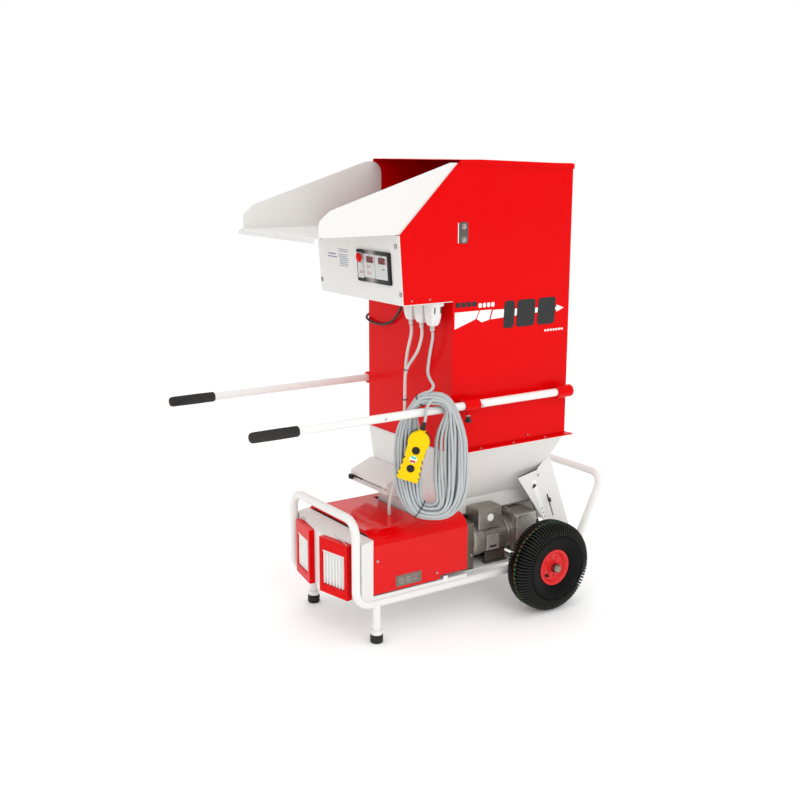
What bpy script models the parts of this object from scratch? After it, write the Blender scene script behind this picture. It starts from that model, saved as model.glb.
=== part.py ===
"""Wheeled loose-fill insulation blower.

Metres, +Z up. The origin is on the floor in the middle of the machine, +X is its right side and
-Y its front, where the operator loads the tray and pulls the handles. Every named sub-part is one
closed solid in its own object.
"""

import math

import bmesh
import bpy
from mathutils import Euler, Matrix, Vector

# ---------------------------------------------------------------- driving dimensions
GAP = 0.0003                  # clearance between touching solids
SHEET = 0.0025                # sheet steel

HALF_LENGTH = 0.70            # grips to rear hoop, half
TUBE_R = 0.0135               # frame tube
RAIL_X, RAIL_Z = 0.191, 0.1265
HOOP_Y, HOOP_TOP = -0.3188, 0.3977
REAR_BAR_Y, REAR_BAR_Z = HALF_LENGTH - TUBE_R + 0.00015, 0.3875
RAIL_FRONT, RAIL_REAR = -0.2620, 0.50
LEG_X, LEG_Y, LEG_R = 0.194, -0.2475, 0.0125
FOOT_R, FOOT_H = 0.020, 0.026

WHEEL_X, WHEEL_Y, WHEEL_R, TYRE_W = 0.279, 0.37, 0.150, 0.094
RIM_R, AXLE_R = 0.060, 0.0095

HOPPER_X, HOPPER_DEPTH = 0.233, 0.464
FLANGE_Z, FLANGE_OUT = 0.5715, 0.019
TOP_FRONT, TOP_REAR = 1.4535, 1.4400
MOUTH_Y, ROOF_Y = 0.022, 0.099
PANEL_TOP = (-0.192, 1.244)   # y, z
PANEL_FOOT = (-0.177, 1.042)

FUNNEL_FOOT_Z, SKIRT_Z = 0.360, 0.3105
FUNNEL_LEFT, FUNNEL_RIGHT = -0.115, 0.085
FUNNEL_FRONT, FUNNEL_REAR = -0.040, 0.445

HANDLE_X, HANDLE_Z, HANDLE_R = 0.270, 0.7265, 0.0125
HANDLE_REAR = 0.472
GRIP_LENGTH, GRIP_R = 0.1465, 0.0158
SLEEVE_R = 0.020

AIRLOCK_X, AIRLOCK_Z, ROTOR_R = -0.030, 0.236, 0.055
AGITATOR_X, AGITATOR_Z, AGITATOR_R = -0.010, 0.425, 0.072
MOTOR_X, MOTOR_Z, MOTOR_R = 0.107, 0.228, 0.058
CHAIN_Y = 0.4585
CHAIN_HALF = 0.0025
SPROCKET_R = {"motor": 0.018, "rotor": 0.024, "agitator": 0.030}
PORT_X, PORT_Z, PORT_R = -0.074, 0.190, 0.030   # outlet spigot

COVER_X, COVER_TOP, COVER_BEND = 0.200, 0.350, 0.052
COVER_FRONT, COVER_REAR = -0.2625, 0.095

COIL_CENTRE = (0.270, -0.097, 0.589)
COIL_TURN = math.radians(40)  # the coil's plane, turned from the YZ plane about Z
COIL_A, COIL_B = 0.075, 0.1765
CABLE_R = 0.0045

PARTS_NAME, CUTTERS_NAME = "insulation_blower", "cutters"


# ---------------------------------------------------------------- scene and materials
def clear_scene():
    for obj in list(bpy.data.objects):
        bpy.data.objects.remove(obj, do_unlink=True)


def new_collection(name):
    collection = bpy.data.collections.new(name)
    bpy.context.scene.collection.children.link(collection)
    return collection


def material(name, colour, roughness, metallic=0.0):
    made = bpy.data.materials.new(name)
    made.use_nodes = True
    shader = made.node_tree.nodes["Principled BSDF"]
    shader.inputs["Base Color"].default_value = (*colour, 1)
    shader.inputs["Roughness"].default_value = roughness
    shader.inputs["Metallic"].default_value = metallic
    made.diffuse_color = (*colour, 1)
    return made


PALETTE = {
    "red": ((0.78, 0.01, 0.01), 0.25, 0.0),
    "white": ((0.88, 0.87, 0.84), 0.35, 0.0),
    "steel": ((0.55, 0.54, 0.52), 0.35, 1.0),
    "galvanised": ((0.50, 0.49, 0.47), 0.50, 0.9),
    "cast": ((0.33, 0.29, 0.25), 0.55, 0.6),
    "black": ((0.02, 0.02, 0.02), 0.60, 0.0),
    "tyre": ((0.025, 0.025, 0.024), 0.80, 0.0),
    "yellow": ((0.90, 0.70, 0.01), 0.40, 0.0),
    "cable": ((0.52, 0.55, 0.55), 0.50, 0.0),
    "filter": ((0.85, 0.84, 0.80), 0.90, 0.0),
    "bezel": ((0.05, 0.05, 0.05), 0.40, 0.0),
}


def paint(obj, finish):
    """Gives the object a material of its own in one of the palette's finishes."""
    obj.data.materials.clear()
    obj.data.materials.append(material(f"{obj.name}_{finish}", *PALETTE[finish]))


def smooth(obj, degrees=35):
    obj.data.shade_smooth()
    obj.data.set_sharp_from_angle(angle=math.radians(degrees))


# ---------------------------------------------------------------- building blocks
def add_mesh(name, bm, location=(0, 0, 0), rotation=(0, 0, 0)):
    bmesh.ops.recalc_face_normals(bm, faces=bm.faces)
    mesh = bpy.data.meshes.new(name)
    bm.to_mesh(mesh)
    bm.free()
    obj = bpy.data.objects.new(name, mesh)
    obj.location = location
    obj.rotation_euler = rotation
    PARTS.objects.link(obj)
    return obj


def box(name, low, high, rotation=(0, 0, 0), bevel=0.0):
    """A box between two corners, turned about its centre."""
    low, high = Vector(low), Vector(high)
    bm = bmesh.new()
    bmesh.ops.create_cube(bm, size=1)
    bmesh.ops.scale(bm, vec=high - low, verts=bm.verts)
    obj = add_mesh(name, bm, (low + high) / 2, rotation)
    if bevel:
        rounding = obj.modifiers.new("rounding", "BEVEL")
        rounding.width, rounding.segments = bevel, 2
    return obj


AXIS_TURN = {"X": Euler((0, math.pi / 2, 0)), "Y": Euler((-math.pi / 2, 0, 0)), "Z": Euler((0, 0, 0))}


def rod(name, start, length, radius, axis, sides=24):
    """A cylinder from its start point along +X, +Y or +Z."""
    bm = bmesh.new()
    bmesh.ops.create_cone(
        bm, cap_ends=True, segments=sides, radius1=radius, radius2=radius, depth=length,
        matrix=Matrix.Translation((0, 0, length / 2)),
    )
    return add_mesh(name, bm, start, AXIS_TURN[axis])


def turned(name, profile, location, axis, steps=24):
    """A turned solid. The profile holds (radius, distance along the axis), top to bottom."""
    bm = bmesh.new()
    points = [bm.verts.new((radius, 0, along)) for radius, along in profile]
    for a, b in zip(points, points[1:]):
        bm.edges.new((a, b))
    mesh = bpy.data.meshes.new(name)
    bm.to_mesh(mesh)
    bm.free()
    obj = bpy.data.objects.new(name, mesh)
    PARTS.objects.link(obj)
    obj.location, obj.rotation_euler = location, AXIS_TURN[axis]
    screw = obj.modifiers.new("turn", "SCREW")
    screw.axis, screw.steps, screw.render_steps = "Z", steps, steps
    screw.use_merge_vertices, screw.merge_threshold = True, 0.00001
    screw.use_smooth_shade = True
    return obj


def closed_ring(name, profile, location, axis, steps=24):
    """A turned ring: the profile's last point joins its first."""
    return turned(name, [*profile, profile[0]], location, axis, steps)


def to_mesh(obj):
    """The evaluated object as a plain welded mesh in its place; the old object is removed."""
    graph = bpy.context.evaluated_depsgraph_get()
    graph.update()
    mesh = bpy.data.meshes.new_from_object(obj.evaluated_get(graph))
    bm = bmesh.new()
    bm.from_mesh(mesh)
    bmesh.ops.remove_doubles(bm, verts=bm.verts, dist=0.00001)
    bmesh.ops.recalc_face_normals(bm, faces=bm.faces)
    bm.to_mesh(mesh)
    bm.free()
    name, place = obj.name, obj.matrix_world.copy()
    bpy.data.objects.remove(obj, do_unlink=True)
    solid = bpy.data.objects.new(name, mesh)
    solid.matrix_world = place
    PARTS.objects.link(solid)
    return solid


FLAT_TURN = {
    "YZ": Matrix(((0, 0, 1, 0), (1, 0, 0, 0), (0, 1, 0, 0), (0, 0, 0, 1))),
    "XZ": Matrix(((1, 0, 0, 0), (0, 0, -1, 0), (0, 1, 0, 0), (0, 0, 0, 1))),
    "XY": Matrix.Identity(4),
}


def plate(name, outline, plane, middle, thickness, holes=()):
    """A flat outline in one plane, given thickness about the middle coordinate on the third axis."""
    curve = bpy.data.curves.new(name, "CURVE")
    curve.dimensions, curve.fill_mode, curve.extrude = "2D", "BOTH", thickness / 2
    for loop in (outline, *holes):
        spline = curve.splines.new("POLY")
        spline.points.add(len(loop) - 1)
        for point, (u, v) in zip(spline.points, loop):
            point.co = (u, v, 0, 1)
        spline.use_cyclic_u = True
    obj = bpy.data.objects.new(name, curve)
    PARTS.objects.link(obj)
    along = {"YZ": (middle, 0, 0), "XZ": (0, middle, 0), "XY": (0, 0, middle)}[plane]
    obj.matrix_world = Matrix.Translation(along) @ FLAT_TURN[plane]
    solid = to_mesh(obj)
    solid.data.transform(solid.matrix_world)
    solid.matrix_world = Matrix.Identity(4)
    return solid


def rounded(corners, radius, steps=5, closed=False):
    """The corner points as a path whose corners are arcs of the given radius."""
    corners = [Vector(point) for point in corners]
    path = []
    count = len(corners)
    for i, corner in enumerate(corners):
        if not closed and i in (0, count - 1):
            path.append(corner)
            continue
        before = (corners[i - 1] - corner).normalized()
        after = (corners[(i + 1) % count] - corner).normalized()
        half = before.angle(after) / 2
        centre = corner + (before + after).normalized() * radius / math.sin(half)
        first = corner + before * radius / math.tan(half) - centre
        last = corner + after * radius / math.tan(half) - centre
        turn = first.angle(last)
        for step in range(steps + 1):
            share = step / steps
            weight_a, weight_b = math.sin((1 - share) * turn), math.sin(share * turn)
            path.append(centre + (first * weight_a + last * weight_b) / math.sin(turn))
    return path


def through(points, count):
    """Evenly counted points on a smooth curve through the route's own points."""
    knots = [Vector(point) for point in points]
    knots = [2 * knots[0] - knots[1], *knots, 2 * knots[-1] - knots[-2]]
    spans = len(knots) - 3
    curve = []
    for i in range(count + 1):
        place = min(i * spans / count, spans - 1e-9)
        a, b, c, d = knots[int(place):int(place) + 4]
        t = place - int(place)
        curve.append(0.5 * (2 * b + (c - a) * t + (2 * a - 5 * b + 4 * c - d) * t ** 2
                            + (3 * b - a - 3 * c + d) * t ** 3))
    return curve


def tube(name, path, radius, resolution=2):
    """A solid round bar or cable along the path."""
    curve = bpy.data.curves.new(name, "CURVE")
    curve.dimensions, curve.bevel_depth, curve.bevel_resolution = "3D", radius, resolution
    curve.use_fill_caps = True
    spline = curve.splines.new("POLY")
    spline.points.add(len(path) - 1)
    for point, place in zip(spline.points, path):
        point.co = (*place, 1)
    obj = bpy.data.objects.new(name, curve)
    PARTS.objects.link(obj)
    return obj


def helper(obj):
    """Moves a piece out of the model: it only cuts or joins another one."""
    for collection in list(obj.users_collection):
        collection.objects.unlink(obj)
    CUTTERS.objects.link(obj)
    obj.hide_render, obj.display_type = True, "WIRE"
    return obj


def combine(target, operation, others):
    for other in others:
        change = target.modifiers.new(f"{operation.lower()}_{other.name}", "BOOLEAN")
        change.operation, change.object = operation, helper(other)
    return target


def cut(target, *cutters):
    return combine(target, "DIFFERENCE", cutters)


def join(target, *others):
    return combine(target, "UNION", others)


SIDES = (("right", 1), ("left", -1))


# ---------------------------------------------------------------- frame
BEND = 0.050


def front_hoop_path():
    hoop = [(RAIL_X, RAIL_FRONT - GAP, RAIL_Z), (RAIL_X, HOOP_Y, RAIL_Z), (RAIL_X, HOOP_Y, HOOP_TOP)]
    return rounded(hoop + [(-x, y, z) for x, y, z in reversed(hoop)], BEND)


def build_frame():
    front = tube("front_hoop", front_hoop_path(), TUBE_R, 3)
    lean_foot_y = REAR_BAR_Y - 0.496 * (REAR_BAR_Z - RAIL_Z)
    loop = [(RAIL_X, RAIL_REAR + GAP, RAIL_Z), (RAIL_X, lean_foot_y, RAIL_Z),
            (RAIL_X, REAR_BAR_Y, REAR_BAR_Z)]
    loop += [(-x, y, z) for x, y, z in reversed(loop)]
    rear = tube("rear_hoop", rounded(loop, BEND), TUBE_R, 3)
    for obj in (front, rear):
        paint(obj, "white")
    for side, sign in SIDES:
        build_rail(side, sign)
    base = box("base_plate", (-0.150, COVER_REAR + 0.005, 0.1405), (0.165, 0.345, 0.1455))
    paint(base, "white")
    build_axle()


def build_rail(side, sign):
    """A rail with its welded front leg, and the rubber foot under it."""
    x = sign * LEG_X
    rail = rod(f"rail_{side}", (sign * RAIL_X, RAIL_FRONT, RAIL_Z), RAIL_REAR - RAIL_FRONT, TUBE_R, "Y", 16)
    leg_top = RAIL_Z - 0.004
    leg = rod(f"leg_{side}", (x, LEG_Y, FOOT_H + GAP), leg_top - FOOT_H, LEG_R, "Z", 16)
    collar = rod(f"collar_{side}", (x, LEG_Y, FOOT_H + GAP), 0.014, 0.0175, "Z", 16)
    join(rail, leg, collar)
    paint(rail, "white")
    foot = turned(
        f"foot_{side}",
        [(0, FOOT_H), (0.0185, FOOT_H), (FOOT_R, FOOT_H - 0.003), (FOOT_R, 0.003), (0.018, 0), (0, 0)],
        (x, LEG_Y, 0), "Z", 20,
    )
    paint(foot, "black")


def build_axle():
    half, cap = 0.331, 0.0115
    profile = [(0, half), (0.009, half), (cap, half - 0.003), (cap, half - 0.008), (AXLE_R, half - 0.008)]
    profile += [(radius, -along) for radius, along in reversed(profile)]
    paint(turned("axle", profile, (0, WHEEL_Y, WHEEL_R), "X", 28), "steel")


def build_wheel(side, sign):
    """A lugged pneumatic tyre on a dished rim. Both are turned about the axle."""
    place = (sign * WHEEL_X, WHEEL_Y, WHEEL_R)
    half, seat, lip = TYRE_W / 2, RIM_R - 0.006, 0.0345
    tyre = closed_ring(
        f"tyre_{side}",
        [(seat, 0.028), (RIM_R + 0.0012, 0.028), (RIM_R + 0.0016, lip), (0.072, 0.042), (0.088, half),
         (0.112, half - 0.001), (0.137, 0.037), (0.147, 0.024), (WHEEL_R, 0), (0.147, -0.024),
         (0.137, -0.037), (0.112, -half + 0.001), (0.088, -half), (0.072, -0.042),
         (RIM_R + 0.0016, -lip), (RIM_R + 0.0012, -0.028), (seat, -0.028)],
        place, "X", 36,
    )
    paint(tyre, "tyre")
    bore, web, hub = AXLE_R + 0.00015, 0.006, 0.020
    outer = [(bore, hub + 0.012), (hub, hub + 0.012), (hub, web), (0.043, web), (0.048, 0.028),
             (0.0525, lip), (RIM_R, lip), (RIM_R, 0.0285), (seat - GAP, 0.0285)]
    rim = closed_ring(f"rim_{side}", outer + [(r, -x) for r, x in reversed(outer)], place, "X", 28)
    paint(rim, "red")


# ---------------------------------------------------------------- hopper and tray
def side_outline():
    return [(0, FLANGE_Z + 0.003), (0, PANEL_FOOT[1]), PANEL_FOOT, PANEL_TOP, (MOUTH_Y, TOP_FRONT), (ROOF_Y, TOP_FRONT), (HOPPER_DEPTH, TOP_REAR),
            (HOPPER_DEPTH, FLANGE_Z + 0.003)]


def build_side_plate(side, sign):
    """A side plate of the hopper with its folded foot flange and a boss for the cable gland."""
    inner = HOPPER_X - SHEET
    name = f"hopper_side_{side}"
    wall = plate(name, side_outline(), "YZ", sign * (inner + SHEET / 2), SHEET)
    edges = sorted((sign * inner, sign * (HOPPER_X + FLANGE_OUT)))
    flange = box(f"flange_{side}", (edges[0], -0.003, FLANGE_Z),
                 (edges[1], HOPPER_DEPTH + FLANGE_OUT, FLANGE_Z + 0.0035))
    join(wall, flange)
    if side == "left":
        boss = rod("gland_boss", (-HOPPER_X - 0.012, 0.052, 0.948), 0.0125, 0.009, "X", 16)
        join(wall, boss)
    paint(wall, "red")


def build_hopper():
    for side, sign in SIDES:
        build_side_plate(side, sign)
    half = HOPPER_X - SHEET - GAP
    low = FLANGE_Z
    knee, chute_top = 1.050, (PANEL_TOP[0] + 0.006, PANEL_TOP[1] - 0.006)
    step = 0.0030
    front = plate("hopper_front", [
        (0, low), (0.003, low), (0.003, knee), (chute_top[0] + step, chute_top[1] + 0.001),
        (chute_top[0] + step, chute_top[1] - 0.002), (0, knee - 0.001)],
        "YZ", 0, 2 * half)
    paint(front, "red")
    y = HOPPER_DEPTH
    rear = plate("hopper_rear", [
        (y - SHEET, low), (y + FLANGE_OUT, low), (y + FLANGE_OUT, low + SHEET), (y, low + SHEET),
        (y, TOP_REAR - 0.0012), (y - SHEET, TOP_REAR - 0.0012)],
        "YZ", 0, 2 * half)
    paint(rear, "red")
    build_lid()


def build_lid():
    """A folded lid that turns on a rolled barrel along its rear edge."""
    over, skirt, sheet = 0.0032, 0.014, 0.0018
    rise = 0.0022
    rear = HOPPER_DEPTH + 0.0025
    lift = 0.0004
    top = [(MOUTH_Y - 0.002, TOP_FRONT), (ROOF_Y, TOP_FRONT), (rear, TOP_REAR)]
    outer = [(y, z + rise) for y, z in top] + [(y, z - skirt) for y, z in reversed(top)]
    inner = [(y - 0.01 * (i == 0) + 0.01 * (i == 2), z + lift) for i, (y, z) in enumerate(top)]
    below = [(y, z - 0.03) for y, z in reversed(inner)]
    half = HOPPER_X + over
    lid = plate("lid", outer, "YZ", 0, 2 * half)
    hollow = plate("lid_hollow", inner + below, "YZ", 0, 2 * (half - sheet))
    cut(lid, hollow)
    barrel = rod("lid_barrel", (-0.22, rear + 0.003, TOP_REAR + 0.0002), 0.44, 0.0038, "X", 12)
    join(lid, barrel)
    paint(lid, "red")


def build_tray():
    """The feed tray: a floor between two side walls, with a folded lip in front."""
    out, sheet = HOPPER_X - SHEET - 0.001, 0.002
    floor_z = 1.2458
    front, back = -0.456, 0.0458
    outline = [(front, floor_z)]
    wall = [Vector((y, z, 0)) for y, z in (
        (front, floor_z), (front, 1.290), (-0.418, 1.3195), (-0.012, 1.4465), (back, 1.4465),
        (back, floor_z))]
    bends = rounded([wall[0], wall[1], wall[2], wall[3]], 0.025, 3)
    rear_arc = rounded([wall[3], wall[4], wall[5]], 0.036, 4)
    outline = [(p.x, p.y) for p in bends[:-1] + rear_arc[1:]]
    outline.insert(len(bends) - 1, (wall[3].x, wall[3].y))
    floor = box("feed_tray", (-out + sheet / 2, front, floor_z), (out - sheet / 2, -0.1835, floor_z + sheet))
    walls = [plate(f"tray_wall_{side}", outline, "YZ", sign * (out - sheet / 2), sheet)
             for side, sign in SIDES]
    lip = plate("tray_lip", [(front + 0.002, floor_z), (-0.4685, floor_z - 0.004), (-0.4705, floor_z - 0.014),
                             (-0.4725, floor_z - 0.014), (-0.4705, floor_z - 0.0025),
                             (front + 0.002, floor_z + sheet)], "YZ", 0, 2 * out)
    join(floor, *walls, lip)
    paint(floor, "white")


# ---------------------------------------------------------------- controls
PANEL_LEAN = math.atan2(PANEL_FOOT[0] - PANEL_TOP[0], PANEL_TOP[1] - PANEL_FOOT[1])


def on_panel(x, z, out):
    """A point that far in front of the control panel's face."""
    share = (PANEL_TOP[1] - z) / (PANEL_TOP[1] - PANEL_FOOT[1])
    face_y = PANEL_TOP[0] - 0.0025 + share * (PANEL_FOOT[0] - PANEL_TOP[0])
    return Vector((x, face_y - out * math.cos(PANEL_LEAN), z - out * math.sin(PANEL_LEAN)))


def build_controls():
    (ty, tz), (fy, fz) = PANEL_TOP, PANEL_FOOT
    face, sheet = 0.0025, 0.002
    panel = plate("control_panel", [
        (ty - face, tz - 0.0005), (fy - face, fz - sheet - GAP), (-GAP, fz - sheet - GAP), (-GAP, fz - GAP),
        (fy - GAP, fz - GAP), (ty - GAP, tz - 0.0005)], "YZ", 0, 2 * HOPPER_X)
    paint(panel, "white")
    tilt = (PANEL_LEAN, 0, 0)
    thick = 0.006
    middle = on_panel(0.090, 1.143, thick / 2 + GAP)
    size = Vector((0.190, thick, 0.096)) / 2
    display = box("display", middle - size, middle + size, tilt, 0.0015)
    stop_at = on_panel(0.024, 1.168, 0)
    pocket = rod("stop_pocket", on_panel(0.024, 1.168, -0.001), 0.012, 0.0062, "Y", 20)
    through_panel = rod("stop_hole", on_panel(0.024, 1.168, -0.006), 0.012, 0.0062, "Y", 20)
    for hole in (pocket, through_panel):
        hole.rotation_euler = (math.pi / 2 + PANEL_LEAN, 0, 0)
    cut(display, pocket)
    cut(panel, through_panel)
    paint(display, "bezel")
    stop = turned("emergency_stop", [
        (0, 0.0185), (0.007, 0.018), (0.0115, 0.0155), (0.012, 0.0125), (0.0105, 0.0110),
        (0.0055, 0.0110), (0.0055, 0.0012), (0, 0.0012)], stop_at, "Y", 24)
    stop.rotation_euler = (math.pi / 2 + PANEL_LEAN, 0, 0)
    paint(stop, "red")


HOODS = ((0.0555, 0.974), (0.1115, 0.971), (0.1675, 0.968))   # left edge, lower edge


def build_connectors():
    """Three plug hoods side by side under the control box, each with a cable gland."""
    top, front, rear, wide = PANEL_FOOT[1] - 0.0026, -0.064, -0.026, 0.0550
    block = box("connectors", (HOODS[0][0], front - 0.002, top - 0.012),
                (HOODS[-1][0] + wide, rear + 0.002, top))
    for i, (left, low) in enumerate(HOODS):
        hood = box(f"hood_{i}", (left, front, low), (left + wide - 0.002, rear, top - 0.006), bevel=0.004)
        middle = (left + wide / 2 - 0.001, (front + rear) / 2, low - 0.018)
        gland = rod(f"gland_{i}", middle, 0.026, 0.0085, "Z", 12)
        join(block, hood, gland)
    paint(block, "white")


def gland_foot(i):
    left, low = HOODS[i]
    return Vector((left + 0.0265, -0.045, low - 0.018 - GAP))


def build_cables():
    """Motor cables that run down from the plugs, and the black cable to the far side's gland."""
    a, b = gland_foot(0), gland_foot(1)
    main = tube("motor_cables", through([
        a, a + Vector((-0.001, 0, -0.030)), (0.063, -0.048, 0.860), (0.056, -0.050, 0.780),
        (0.054, -0.050, 0.700), (0.054, -0.056, 0.560), (0.056, -0.095, 0.440),
        (0.060, -0.112, 0.385), (0.060, -0.112, COVER_TOP + GAP)], 36), 0.0060)
    branch = tube("branch_cable", through([
        b, b + Vector((-0.001, 0, -0.025)), (0.120, -0.048, 0.880), (0.072, -0.049, 0.826),
        (0.0590, -0.050, 0.800)], 14), 0.0055)
    main, branch = to_mesh(main), to_mesh(branch)
    paint(join(main, branch), "white")
    black = tube("side_cable", through([
        (-0.020, -0.016, PANEL_FOOT[1] - 0.0026 - GAP), (-0.021, -0.014, 1.020), (-0.030, -0.012, 0.988),
        (-0.0775, -0.0095, 0.946), (-0.1304, -0.0085, 0.9286), (-0.178, -0.0085, 0.926),
        (-0.212, -0.0095, 0.930), (-0.241, -0.004, 0.938), (-0.2585, 0.018, 0.946),
        (-0.2600, 0.040, 0.948), (-0.2525, 0.0520, 0.948), (-HOPPER_X - 0.0125 - GAP, 0.052, 0.948)], 40),
        0.0040)
    paint(black, "black")


# ---------------------------------------------------------------- handles
def build_handle(side, sign):
    x = sign * HANDLE_X
    front = -HALF_LENGTH
    grip = turned(f"grip_{side}", [
        (0, GRIP_LENGTH), (GRIP_R - 0.002, GRIP_LENGTH), (GRIP_R, GRIP_LENGTH - 0.004), (GRIP_R, 0.006),
        (GRIP_R - 0.004, 0), (0, 0)], (x, front, HANDLE_Z), "Y", 20)
    paint(grip, "black")
    start = front + GRIP_LENGTH + GAP
    length = HANDLE_REAR - start
    inside = HANDLE_R - 0.002
    bar = turned(f"handle_{side}", [
        (0, length), (HANDLE_R - 0.004, length), (HANDLE_R, length - 0.004), (HANDLE_R, 0), (inside, 0),
        (inside, length - 0.006), (0, length - 0.006)],
        (x, start, HANDLE_Z), "Y", 20)
    paint(bar, "white")
    for name, y0, y1 in (("front", 0.0165, 0.0711), ("rear", 0.387, 0.446)):
        build_sleeve(f"sleeve_{name}_{side}", x, sign, y0, y1)
    build_plunger(side, x)


PLUNGER_Y = 0.036


def build_sleeve(name, x, sign, y0, y1):
    """A collar round the handle on a saddle that meets the hopper's side plate."""
    sleeve = rod(name, (x, y0, HANDLE_Z), y1 - y0, SLEEVE_R, "Y", 20)
    inner = sorted((sign * (HOPPER_X + GAP), sign * (HANDLE_X - 0.016)))
    saddle = box(f"{name}_saddle", (inner[0], y0 + 0.004, HANDLE_Z - 0.012),
                 (inner[1], y1 - 0.004, HANDLE_Z + 0.012))
    bore = rod(f"{name}_bore", (x, y0 - 0.01, HANDLE_Z), y1 - y0 + 0.02, HANDLE_R + 0.0006, "Y", 20)
    join(sleeve, saddle)
    cut(sleeve, bore)
    if "front" in name:
        guide = rod(f"{name}_guide", (x, PLUNGER_Y, HANDLE_Z - 0.0295), 0.0120, 0.0062, "Z", 16)
        pin_hole = rod(f"{name}_pin_hole", (x, PLUNGER_Y, HANDLE_Z - 0.035), 0.030, 0.0042, "Z", 12)
        join(sleeve, guide)
        cut(sleeve, pin_hole)
    paint(sleeve, "red")


def build_plunger(side, x):
    """A spring index plunger: its pin and pull knob in one turned piece."""
    plunger = turned(f"index_plunger_{side}", [
        (0, 0), (0.0036, 0), (0.0036, -0.0180), (0.0098, -0.0195), (0.0105, -0.0350),
        (0.0080, -0.0425), (0, -0.0425)],
        (x, PLUNGER_Y, HANDLE_Z - HANDLE_R - 0.0005), "Z", 16)
    paint(plunger, "black")


# ---------------------------------------------------------------- funnel, airlock and drive
def funnel_ring(z):
    """The funnel's outside rectangle at a height: x low, x high, y low, y high."""
    share = max(0.0, min(1.0, (FLANGE_Z - z) / (FLANGE_Z - FUNNEL_FOOT_Z)))
    half = HOPPER_X
    return (-half + share * (FUNNEL_LEFT + half), half + share * (FUNNEL_RIGHT - half),
            share * FUNNEL_FRONT, HOPPER_DEPTH + share * (FUNNEL_REAR - HOPPER_DEPTH))


def rectangle_loft(name, levels):
    """A solid through level rectangles, each ((x low, x high, y low, y high), z), top to bottom."""
    bm = bmesh.new()
    rings = [[bm.verts.new((x, y, z)) for x, y in ((x0, y0), (x1, y0), (x1, y1), (x0, y1))]
             for (x0, x1, y0, y1), z in levels]
    for upper, lower in zip(rings, rings[1:]):
        for i in range(4):
            j = (i + 1) % 4
            bm.faces.new((upper[i], upper[j], lower[j], lower[i]))
    bm.faces.new(rings[0])
    bm.faces.new(rings[-1])
    return add_mesh(name, bm)


def funnel_shape(name, grow, over=0.0):
    """The funnel's outside, made larger all round and longer at both ends."""
    def ring(z):
        x0, x1, y0, y1 = funnel_ring(z)
        return x0 - grow, x1 + grow, y0 - grow, y1 + grow

    top = FLANGE_Z - GAP
    return rectangle_loft(name, [(ring(top), top + over), (ring(top), top), (ring(0), FUNNEL_FOOT_Z),
                                 (ring(0), SKIRT_Z - over)][(0 if over else 1):])


def build_funnel():
    """Flange, sloping walls and straight skirt, open at both ends."""
    top = FLANGE_Z - GAP
    funnel = funnel_shape("funnel", 0)
    flange = box("funnel_flange", (-HOPPER_X - FLANGE_OUT, -0.003, top - 0.002),
                 (HOPPER_X + FLANGE_OUT, HOPPER_DEPTH + FLANGE_OUT, top))
    join(funnel, flange)
    cut(funnel, funnel_shape("funnel_hollow", -0.002, 0.01))
    shaft_hole = rod("agitator_shaft_hole", (AGITATOR_X, 0.40, AGITATOR_Z), 0.08, 0.0095, "Y", 16)
    cut(funnel, shaft_hole)
    paint(funnel, "white")


def build_airlock():
    """Rotary valve body: bored for the rotor, open to the funnel above, air in front and out behind."""
    half, low, high = 0.070, 0.170, SKIRT_Z - 0.0035
    y0, y1 = -0.038, 0.440
    body = box("airlock_housing", (AIRLOCK_X - half, y0, low), (AIRLOCK_X + half, y1, high))
    flange = box("airlock_flange", (FUNNEL_LEFT - 0.004, FUNNEL_FRONT - 0.004, high - 0.001),
                 (FUNNEL_RIGHT + 0.004, FUNNEL_REAR + 0.004, SKIRT_Z - GAP))
    spigot = rod("outlet_spigot", (PORT_X, y1 - 0.004, PORT_Z), 0.120, PORT_R, "Y", 24)
    join(body, flange, spigot)
    bore = rod("rotor_bore", (AIRLOCK_X, y0 + 0.010, AIRLOCK_Z), y1 - y0 - 0.020, ROTOR_R + 0.002, "Y", 32)
    inlet = box("material_inlet", (AIRLOCK_X - 0.046, y0 + 0.014, AIRLOCK_Z + 0.02),
                (AIRLOCK_X + 0.046, y1 - 0.014, SKIRT_Z + 0.01))
    shaft = rod("rotor_shaft_hole", (AIRLOCK_X, y1 - 0.05, AIRLOCK_Z), 0.08, 0.0105, "Y", 16)
    air_in = rod("air_inlet", (PORT_X, y0 - 0.01, PORT_Z), 0.04, PORT_R - 0.004, "Y", 20)
    air_out = rod("air_outlet", (PORT_X, y1 - 0.03, PORT_Z), 0.16, PORT_R - 0.003, "Y", 20)
    cut(body, bore, inlet, shaft, air_in, air_out)
    paint(body, "galvanised")


def sprocket_wheel(name, x, z, radius):
    return rod(name, (x, CHAIN_Y - CHAIN_HALF, z), 2 * CHAIN_HALF, radius, "Y", 24)


def build_rotor():
    """Six vanes on a shaft that runs out through the rear wall to its sprocket."""
    y0, y1 = -0.026, 0.428
    shaft = rod("airlock_rotor", (AIRLOCK_X, y0, AIRLOCK_Z), CHAIN_Y + 0.004 - y0, 0.0100, "Y", 16)
    for i in range(3):
        turn = i * math.pi / 3 + math.pi / 6
        blade = box(f"vane_{i}", (AIRLOCK_X - ROTOR_R, y0, AIRLOCK_Z - 0.002),
                    (AIRLOCK_X + ROTOR_R, y1, AIRLOCK_Z + 0.002), (0, turn, 0))
        join(shaft, blade)
    join(shaft, sprocket_wheel("rotor_sprocket", AIRLOCK_X, AIRLOCK_Z, SPROCKET_R["rotor"]))
    paint(shaft, "steel")


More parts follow.
